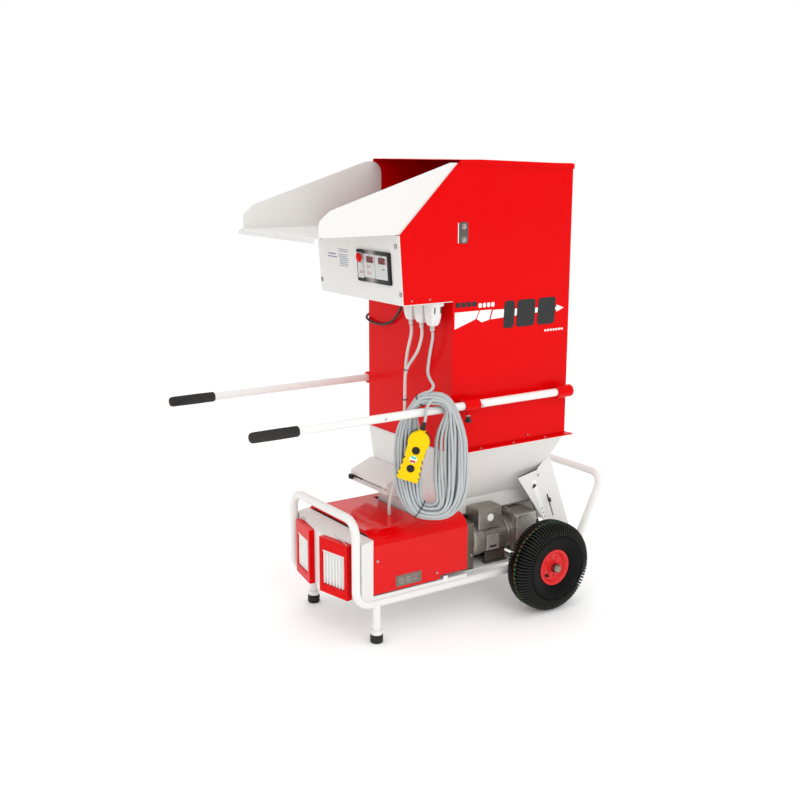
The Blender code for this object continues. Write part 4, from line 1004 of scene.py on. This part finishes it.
def make_pendant():
    place = pendant_frame()
    for name, depths, material in (
        ("pendant_front", ((-0.0168, -0.0040), (-0.0152, -0.0012), (-0.0120, 0.0), (-0.0012, 0.0)), "yellow"),
        ("pendant_back", ((-0.0012, 0.0010), (0.0120, 0.0010), (0.0150, -0.0004), (0.0166, -0.0036)),
         "black"),
    ):
        bm = bmesh.new()
        rings = [[bm.verts.new(place @ Vector((x, y, z))) for x, z in pendant_outline(grow)]
                 for y, grow in depths]
        add_skin(bm, rings)
        bm.faces.new(rings[0])
        bm.faces.new(rings[-1][::-1])
        half = mesh_object(name, bm)
        if name == "pendant_front":
            for z in BUTTON_HEIGHTS:
                drill(half, place @ Matrix.Translation((0, 0, z)) @ Matrix.Rotation(-math.pi / 2, 4, "X"),
                      0.0121, -0.0300, -0.0100)
        finish(half, material, ROOT, 35)
        if name == "pendant_front":
            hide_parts("pendant")
            main = half
    bm = bmesh.new()
    seats = place @ Matrix.Rotation(math.pi / 2, 4, "X")
    profile = [(0, 0.0765)]
    for i in range(5):
        z = 0.0770 + i * 0.0058
        ridge, groove = 0.0094 - 0.0007 * i, 0.0072 - 0.0005 * i
        profile += [(ridge, z), (ridge, z + 0.0036), (groove, z + 0.0040), (groove, z + 0.0054)]
    profile.append((0, 0.1058))
    add_turned(bm, profile, place, 20)
    gland = piece("pendant_gland", bm, "black", "pendant", 30)
    bm = bmesh.new()
    label = seats @ Matrix.Translation((0, 0, 0.0166))
    oval = [(0.0108 * math.cos(2 * math.pi * i / 32), -0.0085 + 0.0118 * math.sin(2 * math.pi * i / 32))
            for i in range(32)]
    add_prism(bm, oval, label, 0.0006)
    add_prism(bm, rounded_rectangle(-0.0082, -0.0062, 0.0082, 0.0010, 0.0034), label, 0.0009, 1)
    add_prism(bm, rounded_rectangle(-0.0082, -0.0180, 0.0082, -0.0108, 0.0034), label, 0.0009, 2)
    add_turned(bm, [(0.0094, 0.0775), (0.0116, 0.0782), (0.0120, 0.0800), (0.0116, 0.0818), (0.0094, 0.0822)],
               place, 28, closed=True, index=3)
    for z in BUTTON_HEIGHTS:
        add_turned(bm, [(0.0122, 0.0150), (0.0122, 0.0182), (0.0142, 0.0182), (0.0150, 0.0168),
                        (0.0150, 0.0150)], seats @ Matrix.Translation((0, z, 0)), 32, closed=True, index=3)
    badge = piece("pendant_label", bm, ("label_white", "print_green", "print_red", "yellow"), "pendant")
    buttons = []
    for name, z in zip(("start", "stop"), BUTTON_HEIGHTS):
        bm = bmesh.new()
        base = seats @ Matrix.Translation((0, z, 0.0115))
        add_turned(bm, [(0, 0.0090), (0.0050, 0.0089), (0.0090, 0.0083), (0.0110, 0.0070), (0.0115, 0.0056),
                        (0.0115, 0.0045), (0, 0.0045)], base, 32)
        for k in range(6):
            spin = base @ Matrix.Rotation(k * math.pi / 3, 4, "Z")
            add_rod(bm, spin @ Vector((0.0035, 0, 0.0088)), spin @ Vector((0.0078, 0, 0.0085)), 0.0005, 6)
        button = piece(f"press_button_{name}", bm, "rubber", f"button_{name}", 60,
                       body=f"button_{name}", replaces=True)
        buttons.append(button)
    return [main, bpy.data.objects["pendant_back"], gland, badge, *buttons]


PENDANT_PIECES = make_pendant()


# ---------------------------------------------------------------- filters
FILTER_TURN = math.radians(10.85)


def filter_frame(sign):
    """Local X runs across the filter's face, local Y into the machine and local Z is up."""
    return Matrix.Translation((sign * 0.095, -0.342, 0.221)) @ Matrix.Rotation(sign * FILTER_TURN, 4, "Z")


def make_filters():
    for side, sign in SIDES:
        place = filter_frame(sign)
        bm = bmesh.new()
        folds, wide, high = 7, 0.0490, 0.0550
        outline = []
        for i in range(folds * 6 + 1):
            share = 0.5 - 0.5 * math.cos(2 * math.pi * i / 6)
            outline.append((-wide + 2 * wide * i / (folds * 6), 0.0040 + 0.0170 * share ** 1.5))
        rows = 9
        grid = []
        for j in range(rows + 1):
            z = -high + 2 * high * j / rows
            grid.append([bm.verts.new(place @ Vector((x + 0.0003 * math.sin(3.1 * j + i), y, z)))
                         for i, (x, y) in enumerate(outline)])
        for a, b in zip(grid, grid[1:]):
            for i in range(len(a) - 1):
                bm.faces.new((a[i], a[i + 1], b[i + 1], b[i]))
        back = [[bm.verts.new(place @ Vector((x, 0.0235, z))) for x in (-wide, wide)] for z in (-high, high)]
        bm.faces.new((back[0][0], back[0][1], back[1][1], back[1][0]))
        for a, b in ((grid[0], back[0]), (grid[-1], back[1])):
            bm.faces.new([*a, b[1], b[0]])
        bm.faces.new([row[0] for row in grid] + [back[1][0], back[0][0]])
        bm.faces.new([row[-1] for row in grid] + [back[1][1], back[0][1]])
        piece(f"pleated_filter_{side}", bm, "paper", f"filter_{side}", 20, replaces=True)
        bm = bmesh.new()
        add_prism(bm, [(0.0008, 0.0552), (0.0008, 0.0500), (0.0130, 0.0420), (0.0180, 0.0552)],
                  place @ sideways(-0.0492), 0.0984)
        piece(f"filter_ledge_{side}", bm, "white", f"filter_{side}", 30, 0.0006)


make_filters()


# ---------------------------------------------------------------- hopper side and bracket
HOPPER_X, HOPPER_DEPTH = 0.233, 0.464
CHAIN_Y = 0.4585


def make_side_graphic():
    """A plain angular band in white with black blocks, on both sides of the hopper."""
    for side, sign in SIDES:
        place = sideways(sign * (HOPPER_X + 0.0001), sign)
        bm = bmesh.new()
        white = [[(0.0075, 0.9560), (0.0075, 1.0070), (0.1000, 1.0068), (0.0850, 0.9810)],
                 [(0.0900, 0.9825), (0.1045, 1.0068), (0.1480, 1.0066), (0.1390, 0.9760), (0.1100, 0.9700)],
                 [(0.1450, 0.9765), (0.1535, 1.0050), (0.2000, 1.0040), (0.2000, 0.9790)],
                 [(0.2000, 0.9790), (0.2000, 1.0040), (0.4120, 0.9960), (0.4120, 0.9870)],
                 [(0.4120, 0.9800), (0.4120, 1.0030), (0.4420, 0.9915)],
                 *[rounded_rectangle(0.0970 + 0.0165 * k, 1.0150, 0.1090 + 0.0165 * k, 1.0290, 0.004, 3)
                   for k in range(4)],
                 *[rounded_rectangle(0.3640 + 0.0115 * k, 0.9200, 0.3720 + 0.0115 * k, 0.9270, 0.002, 2)
                   for k in range(7)]]
        black = [rounded_rectangle(0.0100 + 0.0208 * k, 1.0210, 0.0270 + 0.0208 * k, 1.0360, 0.003, 3)
                 for k in range(4)]
        black += [[(y + 0.05 * (z - 0.985), z) for y, z in rounded_rectangle(y0, 0.9440, y1, 1.0290, 0.012)]
                  for y0, y1 in ((0.1960, 0.2390), (0.2480, 0.3220), (0.3330, 0.4060))]
        for outlines, index, lift in ((white, 0, 0.0), (black, 1, 0.0003)):
            for outline in outlines:
                add_prism(bm, outline, place @ Matrix.Translation((0, 0, lift)), 0.0005, index)
        piece(f"side_band_{side}", bm, ("label_white", "label_black"), f"hopper_side_{side}", 30)


def make_bracket():
    bm = bmesh.new()
    place = sideways(HOPPER_X + 0.0002)
    add_prism(bm, rounded_rectangle(0.0195, 1.2110, 0.0520, 1.2755, 0.0105, 6), place, 0.0026)
    for z in (1.2235, 1.2620):
        for radius, low, high, sides in ((0.0088, 0.0026, 0.0040, 24), (0.0064, 0.0040, 0.0080, 6),
                                         (0.0036, 0.0080, 0.0100, 14)):
            add_rod(bm, place @ Vector((0.0358, z, low)), place @ Vector((0.0358, z, high)), radius, sides,
                    index=1)
    add_prism(bm, [(0.0150, 1.2130), (0.0178, 1.2130), (0.0178, 1.2730), (0.0150, 1.2730)], place, 0.0020, 2)
    piece("side_bracket", bm, ("cast_dark", "steel", "label_white"), "hopper_side_right", 30, 0.0005)


def make_fasteners():
    """Screw heads on the flange, the hopper's walls, the blower cover, the chain cover and the sleeves."""
    bm = bmesh.new()

    def screw(point, normal, radius=0.0042):
        turn = Vector(normal).to_track_quat("Z", "Y").to_matrix().to_4x4()
        make_screw(bm, Matrix.Translation(point) @ turn, radius)

    for _, sign in SIDES:
        for y in (0.109, 0.240, 0.371):
            screw((sign * 0.2425, y, 0.5745), (0, 0, 1), 0.0046)
        for y in (-0.085, -0.150):
            screw((sign * 0.2331, y, 1.0530), (sign, 0, 0), 0.0032)
        for y in (0.025, 0.305):
            screw((sign * 0.2331, y, 0.5900), (sign, 0, 0), 0.0030)
        screw((sign * 0.2002, -0.248, 0.264), (sign, 0, 0), 0.0046)
        screw((sign * 0.2002, -0.025, 0.180), (sign, 0, 0), 0.0042)
        screw((sign * 0.1600, 0.420, 0.4200), (sign, 0, 0), 0.0042)
        screw((sign * 0.1600, 0.540, 0.2150), (sign, 0, 0), 0.0042)
        screw((sign * (HANDLE_X + 0.0130), 0.0780, HANDLE_Z - 0.004), (sign, 0, -0.2), 0.0060)
    for x in (-0.18, 0.0, 0.18):
        screw((x, HOPPER_DEPTH + 0.0002, 0.5950), (0, 1, 0), 0.0040)
        screw((x, HOPPER_DEPTH + 0.0002, 1.3900), (0, 1, 0), 0.0040)
    piece("fasteners", bm, "steel", "hopper_side_right")


def make_hole_shade_rings():
    """Painted shade for the cross hole in each handle tube: a dark ring drawn on the tube's round surface."""
    for side, sign in SIDES:
        bm = bmesh.new()
        rings = []
        for radius in (0.0024, 0.0042):
            ring = []
            for k in range(24):
                angle = 2 * math.pi * k / 24
                around = radius * math.sin(angle) / HANDLE_R - 0.10
                out = HANDLE_R + 0.0001
                ring.append(bm.verts.new((sign * (HANDLE_X + out * math.cos(around)),
                                          -0.271 + radius * math.cos(angle),
                                          HANDLE_Z + out * math.sin(around))))
            rings.append(ring)
        add_skin(bm, rings)
        mark = mesh_object(f"handle_hole_{side}", bm)
        thicken(mark, 0.0002, 0.0)
        finish(mark, "cast_dark", f"handle_{side}")


make_side_graphic()
make_bracket()
make_fasteners()
make_hole_shade_rings()


# ---------------------------------------------------------------- motor, gearbox and chain
MOTOR_X, MOTOR_Z = 0.107, 0.228


def make_motor():
    axis = Matrix.Translation((MOTOR_X, 0, MOTOR_Z)) @ Matrix.Rotation(-math.pi / 2, 4, "X")
    bm = bmesh.new()
    add_turned(bm, [(0, 0.1502), (0.0200, 0.1502), (0.0440, 0.1510), (0.0520, 0.1540), (0.0572, 0.1610),
                    (0.0578, 0.1640), (0.0578, 0.1960), (0.0560, 0.1980), (0.0500, 0.1985), (0.0500, 0.2960),
                    (0.0550, 0.2965), (0.0558, 0.2980), (0.0558, 0.3050), (0.0545, 0.3058), (0, 0.3058)],
               axis, 56)
    for i in range(36):
        angle = 2 * math.pi * i / 36
        spin = axis @ Matrix.Rotation(angle, 4, "Z")
        if abs(math.cos(angle)) < 0.40 and math.sin(angle) < 0:
            continue
        add_box(bm, (0.0490, -0.0011, 0.2000), (0.0556, 0.0011, 0.2955), spin)
    piece("motor_body", bm, "cast", "motor", 30, replaces=True)
    # Black discs on the motor's end: painted shade standing in for the vent holes in the fan cowl.
    bm = bmesh.new()
    for ring in range(4):
        radius = 0.012 + ring * 0.009
        count = 8 + ring * 6
        for i in range(count):
            angle = 2 * math.pi * i / count
            spin = axis @ Matrix.Rotation(angle, 4, "Z")
            add_rod(bm, spin @ Vector((radius, 0, 0.1506)), spin @ Vector((radius, 0, 0.1496)), 0.0022, 8)
    piece("motor_vent_shade", bm, "black", "motor")
    bm = bmesh.new()
    for x in (MOTOR_X - 0.036, MOTOR_X + 0.038):
        add_box(bm, (x - 0.010, 0.206, 0.1462), (x + 0.010, 0.296, 0.1520))
        add_box(bm, (x - 0.004, 0.210, 0.1515), (x + 0.004, 0.292, 0.1850))
        for y in (0.214, 0.288):
            add_rod(bm, (x, y, 0.1518), (x, y, 0.1568), 0.0048, 6)
    piece("motor_feet_detail", bm, "cast_dark", "motor", 30, 0.0012)
    bm = bmesh.new()
    add_box(bm, (0.1480, 0.2030, 0.1960), (0.1640, 0.2560, 0.2480))
    add_box(bm, (0.1640, 0.2070, 0.2000), (0.1648, 0.2520, 0.2440))
    for y in (0.2085, 0.2505):
        for z in (0.2015, 0.2425):
            add_rod(bm, (0.1640, y, z), (0.1662, y, z), 0.0030, 6, index=1)
    add_box(bm, (0.1642, 0.2150, 0.2050), (0.1654, 0.2430, 0.2120), index=2)
    piece("motor_plate", bm, ("cast_pale", "steel", "black"), "motor", 30, 0.0008)
    bm = bmesh.new()
    levels = [(0.0, 0.2700), (0.0, 0.3210), (-0.0012, 0.3215), (-0.0012, 0.3235), (0.0, 0.3240),
              (0.0, 0.3360), (0.0030, 0.3398)]
    rings = []
    for inset, z in levels:
        outline = rounded_rectangle(0.0900 + max(inset, 0), 0.1725 + max(inset, 0), 0.1570 - inset,
                                    0.2715 - max(inset, 0), 0.0075)
        rings.append([bm.verts.new((x, y, z)) for x, y in outline])
    add_skin(bm, rings)
    bm.faces.new(rings[0][::-1])
    bm.faces.new(rings[-1])
    for x in (0.0965, 0.1515):
        for y in (0.1795, 0.2650):
            add_rod(bm, (x, y, 0.3390), (x, y, 0.3399), 0.0030, 14, index=1)
    piece("terminal_box", bm, ("cast", "steel"), "motor", 30)
    bm = bmesh.new()
    turn = Matrix.Translation((0.1562, 0.2220, 0.3060)) @ Matrix.Rotation(math.pi / 2, 4, "Y")
    add_turned(bm, [(0, 0.0019), (0.0102, 0.0019), (0.0126, 0.0014), (0.0130, 0.0004), (0.0130, -0.001),
                    (0, -0.001)], turn, 30)
    add_box(bm, (-0.0012, -0.0060, 0.0015), (0.0012, 0.0060, 0.0020), turn)
    piece("terminal_plug", bm, "plug", "motor")


def make_gearbox_details():
    bm = bmesh.new()
    for x in (0.055, 0.150):
        for z in (0.178, 0.290):
            add_rod(bm, (x, 0.4152, z), (x, 0.4202, z), 0.0050, 6)
    for y in (0.340, 0.372, 0.404):
        for z in (0.1800, 0.2880):
            add_rod(bm, (0.1628, y, z), (0.1662, y, z), 0.0048, 6)
    for y in (0.330, 0.404):
        add_rod(bm, (0.1030, y, 0.3018), (0.1030, y, 0.3075), 0.0060, 6)
    piece("gearbox_bolts", bm, "steel", "gearbox")
    bm = bmesh.new()
    rings = []
    for inset, x in ((0.0, 0.1625), (0.0, 0.1640), (0.0012, 0.1650)):
        outline = rounded_rectangle(0.3275 + inset, 0.1720 + inset, 0.4125 - inset, 0.2960 - inset, 0.010)
        rings.append([bm.verts.new((x, y, z)) for y, z in outline])
    add_skin(bm, rings)
    bm.faces.new(rings[0])
    bm.faces.new(rings[-1])
    piece("gearbox_cover", bm, "cast_pale", "gearbox", 30)
    bm = bmesh.new()
    side = [(0.0985, 0.1460), (0.0985, 0.2850), (0.1080, 0.3060), (0.1465, 0.3060), (0.1465, 0.1460)]
    x0, x1, sheet = 0.0440, 0.1660, 0.0016
    for x in (x0, x1 - sheet):
        add_prism(bm, side, sideways(x), sheet)
    add_box(bm, (x0, 0.0985, 0.1460), (x1, 0.0985 + sheet, 0.2850))
    add_box(bm, (x0, 0.1080, 0.3060 - sheet), (x1, 0.1465, 0.3060))
    turn = Matrix.Translation((0, 0.0985, 0.2850)) @ Matrix.Rotation(-math.atan2(0.0095, 0.0210), 4, "X")
    add_box(bm, (x0, 0.0, 0.0), (x1, sheet, 0.0231), turn)
    piece("motor_guard", bm, "guard", "motor", 30, 0.0004)
    bm = bmesh.new()
    for y, z in ((0.1360, 0.1960), (0.1080, 0.2960)):
        make_screw(bm, Matrix.Translation((0.1662, y, z)) @ Matrix.Rotation(math.pi / 2, 4, "Y"), 0.0042)
    piece("guard_screws", bm, "steel", "motor")


def make_chain():
    """Roller chain links along the loop of the CAD chain."""
    wheels = ((MOTOR_X, MOTOR_Z, 0.018), (-0.030, 0.236, 0.024), (-0.010, 0.425, 0.030))
    loop = []
    for i in range(360):
        angle = 2 * math.pi * i / 360
        dx, dz = math.cos(angle), math.sin(angle)
        x, z, radius = max(wheels, key=lambda wheel: wheel[0] * dx + wheel[1] * dz + wheel[2])
        loop.append(Vector((x + (radius + 0.0029) * dx, CHAIN_Y, z + (radius + 0.0029) * dz)))
    total = length_of(loop + loop[:1])
    links = int(total / 0.0085) // 2 * 2
    points, step, walked, k = [], total / links, 0.0, 0
    closed = loop + loop[:1]
    for a, b in zip(closed, closed[1:]):
        span = (b - a).length
        while span > 1e-9 and k * step <= walked + span and k < links:
            points.append(a.lerp(b, (k * step - walked) / span))
            k += 1
        walked += span
    bm = bmesh.new()
    for i, point in enumerate(points):
        after = points[(i + 1) % len(points)]
        add_rod(bm, point + Vector((0, -0.0023, 0)), point + Vector((0, 0.0023, 0)), 0.0017, 8)
        gap = 0.0013 if i % 2 else 0.0018
        along = (after - point)
        angle = -math.atan2(along.z, along.x)
        turn = Matrix.Translation((point + after) / 2) @ Matrix.Rotation(angle, 4, "Y")
        half = along.length / 2 + 0.0016
        for face in (-1, 1):
            outline = [(-half, -0.0012), (-half + 0.0012, -0.0021), (half - 0.0012, -0.0021), (half, -0.0012),
                       (half, 0.0012), (half - 0.0012, 0.0021), (-half + 0.0012, 0.0021), (-half, 0.0012)]
            place = turn @ Matrix.Translation((0, face * gap, 0)) @ Matrix.Rotation(math.pi / 2, 4, "X")
            add_prism(bm, outline, place, 0.0005)
    piece("roller_chain", bm, "steel", "drive_chain", 30, replaces=True)


make_motor()
make_gearbox_details()
make_chain()


# ---------------------------------------------------------------- blower, gate and chute details
def make_blower_details():
    bm = bmesh.new()
    place = sideways(0.2001)
    add_prism(bm, rounded_rectangle(-0.181, 0.1655, -0.085, 0.2015, 0.002, 2), place, 0.0007)
    for y in (-0.177, -0.089):
        for z in (0.1695, 0.1975):
            add_rod(bm, place @ Vector((y, z, 0.0006)), place @ Vector((y, z, 0.0014)), 0.0018, 10)
    for row in range(4):
        for k in range(3 - row % 2):
            stroke = rounded_rectangle(-0.170 + k * 0.026, 0.1900 - row * 0.0058,
                                       -0.152 + k * 0.026 + row * 0.001, 0.1914 - row * 0.0058, 0.0004, 1)
            add_prism(bm, stroke, place @ Matrix.Translation((0, 0, 0.0006)), 0.0004, 1)
    piece("name_plate", bm, ("guard", "label_grey"), "blower_cover", 30)
    bm = bmesh.new()
    for _, sign in SIDES:
        add_box(bm, (sign * 0.2003 - 0.0008, 0.0005, 0.1412), (sign * 0.2003 + 0.0008, 0.0175, 0.1625))
    piece("cover_tabs", bm, "frame", "blower_housing", 30, 0.0003)
    bm = bmesh.new()
    lip = [(bm.verts.new((x, -0.2628, z)), bm.verts.new((xi, -0.2628, zi)))
           for (x, z), (xi, zi) in zip(cover_arc(0.0004), cover_arc(-0.0110))]
    for (a, b), (c, d) in zip(lip, lip[1:]):
        bm.faces.new((a, b, d, c))
    edge = mesh_object("cover_front_edge", bm)
    thicken(edge, 0.0008)
    finish(edge, "red", ROOT, 50)
    bm = bmesh.new()
    slope = Matrix.Translation((0, -0.3618, 0.3144)) @ Matrix.Rotation(math.radians(10), 4, "X")
    for start, step, count, wide in (((-0.150, 0.050), (0.004, -0.006), 3, 0.030),
                                     ((0.050, 0.047), (0.0145, -0.0026), 8, 0.010)):
        for k in range(count):
            x, y = start[0] + k * step[0], start[1] + k * step[1]
            add_box(bm, (x, y, -0.0002), (x + wide, y + 0.0028, 0.0003), slope)
    piece("housing_print", bm, "label_grey", "blower_housing", 30)


def cover_arc(grow, low=0.157, top=0.350, half=0.200, bend=0.052, steps=9):
    points = [(half + grow, low)]
    for sx, start in ((1, 0), (-1, 90)):
        for i in range(steps + 1):
            angle = math.radians(start + 90 * i / steps)
            points.append((sx * (half - bend) + (bend + grow) * math.cos(angle),
                           top - bend + (bend + grow) * math.sin(angle)))
    points.append((-half - grow, low))
    return points


def make_gate_details():
    bm = bmesh.new()
    face = Matrix(((1, 0, 0, 0), (0, 0, -1, -0.1042), (0, 1, 0, 0), (0, 0, 0, 1)))
    for i in range(22):
        x = -0.178 + i * 0.0088
        high = 0.0055 if i % 5 == 0 else 0.0038
        add_prism(bm, [(x - 0.0008, 0.4160 - high), (x + 0.0008, 0.4160 - high), (x + 0.0008, 0.4160),
                       (x - 0.0008, 0.4160)], face, 0.0003)
    piece("gate_scale", bm, "label_black", "gate_housing")
    bm = bmesh.new()
    add_box(bm, (-0.1835, -0.0966, 0.4090), (0.0275, -0.0956, 0.4360))
    piece("gate_backing", bm, "white", "gate_housing", 30, 0.0003)
    bm = bmesh.new()
    for x in (-0.181, 0.025):
        make_screw(bm, face @ Matrix.Translation((x, 0.4225, 0)), 0.0036)
    piece("gate_screws", bm, "steel", "gate_housing")
    bm = bmesh.new()
    knob = face @ Matrix.Translation((-0.164, 0.4225, 0.0172))
    for i in range(5):
        z = -0.0062 + i * 0.0031
        add_box(bm, (-0.0086, z - 0.0006, -0.0002), (0.0086, z + 0.0006, 0.0009), knob)
    piece("gate_knob_ribs", bm, "rubber", "gate_slider", body="gate")


def make_hood_print():
    """The pale strip beside the hood's slot, with a plain fan-shaped mark and a column of dots."""
    for side, sign in SIDES:
        place = sideways(sign * 0.1602, sign)
        bm = bmesh.new()
        add_prism(bm, [(0.3880, 0.4020), (0.4080, 0.4060), (0.4705, 0.2480), (0.4530, 0.2560)], place, 0.0005)
        fan = [(0.3985, 0.3930)] + [(0.3985 + 0.0165 * math.cos(math.radians(a)), 0.3930 + 0.0165 * math.sin(
            math.radians(a))) for a in range(-100, -19, 16)]
        add_prism(bm, fan, place @ Matrix.Translation((0, 0, 0.0003)), 0.0005, 1)
        for k in range(4):
            y, z = 0.4420 + 0.0068 * k, 0.2990 - 0.0150 * k
            add_prism(bm, rounded_rectangle(y - 0.0026, z - 0.0020, y + 0.0026, z + 0.0020, 0.0009, 2),
                      place @ Matrix.Translation((0, 0, 0.0003)), 0.0005, 2)
        piece(f"hood_print_{side}", bm, ("label_white", "label_black", "print_blue"), "chain_cover", 30)


def make_joint_strips():
    """A black strip along the joint where the chain cover meets the funnel, on both sides; it darkens the
    joint line.
    """
    for side, sign in SIDES:
        points = []
        for i in range(13):
            share = i / 12
            y = 0.3310 + share * (0.4140 - 0.3310)
            z = 0.4252 + share * (0.4409 - 0.4252)
            points.append(Vector((sign * 0.1605, y, z)))
        strip = wire(f"cover_joint_strip_{side}", points, 0.0018, "rubber", 2)
        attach(strip, ROOT)


make_blower_details()
make_gate_details()
make_hood_print()
make_joint_strips()


# ---------------------------------------------------------------- stage and light
def make_stage():
    bm = bmesh.new()
    bmesh.ops.create_grid(bm, x_segments=4, y_segments=4, size=14)
    bmesh.ops.translate(bm, verts=bm.verts, vec=(0, 0, -0.0004))
    floor = mesh_object("floor", bm)
    m = Nodes("floor_white", (0.96, 0.96, 0.96), 0.9, Specular_IOR_Level=0.0,
              Emission_Color=(1, 1, 1, 1), Emission_Strength=0.05)
    m.tint(m.noise(0.6), (0.955, 0.955, 0.955), (0.965, 0.965, 0.965))
    m.bump(m.noise(60.0), 0.0002, 0.05)
    floor.data.materials.append(m.material)


def area_light(name, place, target, size, power_w, colour=(1, 1, 1)):
    data = bpy.data.lights.new(name, "AREA")
    data.shape, data.size, data.size_y = "RECTANGLE", size[0], size[1]
    data.energy, data.color = power_w, colour
    lamp = bpy.data.objects.new(name, data)
    direction = Vector(target) - Vector(place)
    lamp.matrix_world = Matrix.Translation(place) @ direction.to_track_quat("-Z", "Y").to_matrix().to_4x4()
    bpy.context.scene.collection.objects.link(lamp)


def make_light():
    bpy.context.scene.view_settings.view_transform = "Standard"
    world = bpy.data.worlds.new("studio")
    bpy.context.scene.world = world
    world.use_nodes = True
    world.node_tree.nodes["Background"].inputs["Color"].default_value = (1.0, 1.0, 1.0, 1)
    tree = world.node_tree
    path = tree.nodes.new("ShaderNodeLightPath")
    dimmer = tree.nodes.new("ShaderNodeMapRange")
    dimmer.inputs["To Min"].default_value, dimmer.inputs["To Max"].default_value = 1.0, 0.45
    tree.links.new(path.outputs["Is Glossy Ray"], dimmer.inputs["Value"])
    tree.links.new(dimmer.outputs[0], tree.nodes["Background"].inputs["Strength"])
    area_light("key", (3.6, -0.6, 2.6), (0, 0, 0.8), (2.2, 2.2), 34)
    area_light("front", (0.4, -4.0, 2.2), (0, 0, 0.7), (2.0, 2.0), 6)
    area_light("top", (0.0, 0.4, 4.4), (0, 0, 0.8), (3.0, 3.0), 22)
    area_light("rear", (-3.4, 2.6, 2.4), (0, 0, 0.8), (2.6, 2.4), 12)


make_stage()
make_light()
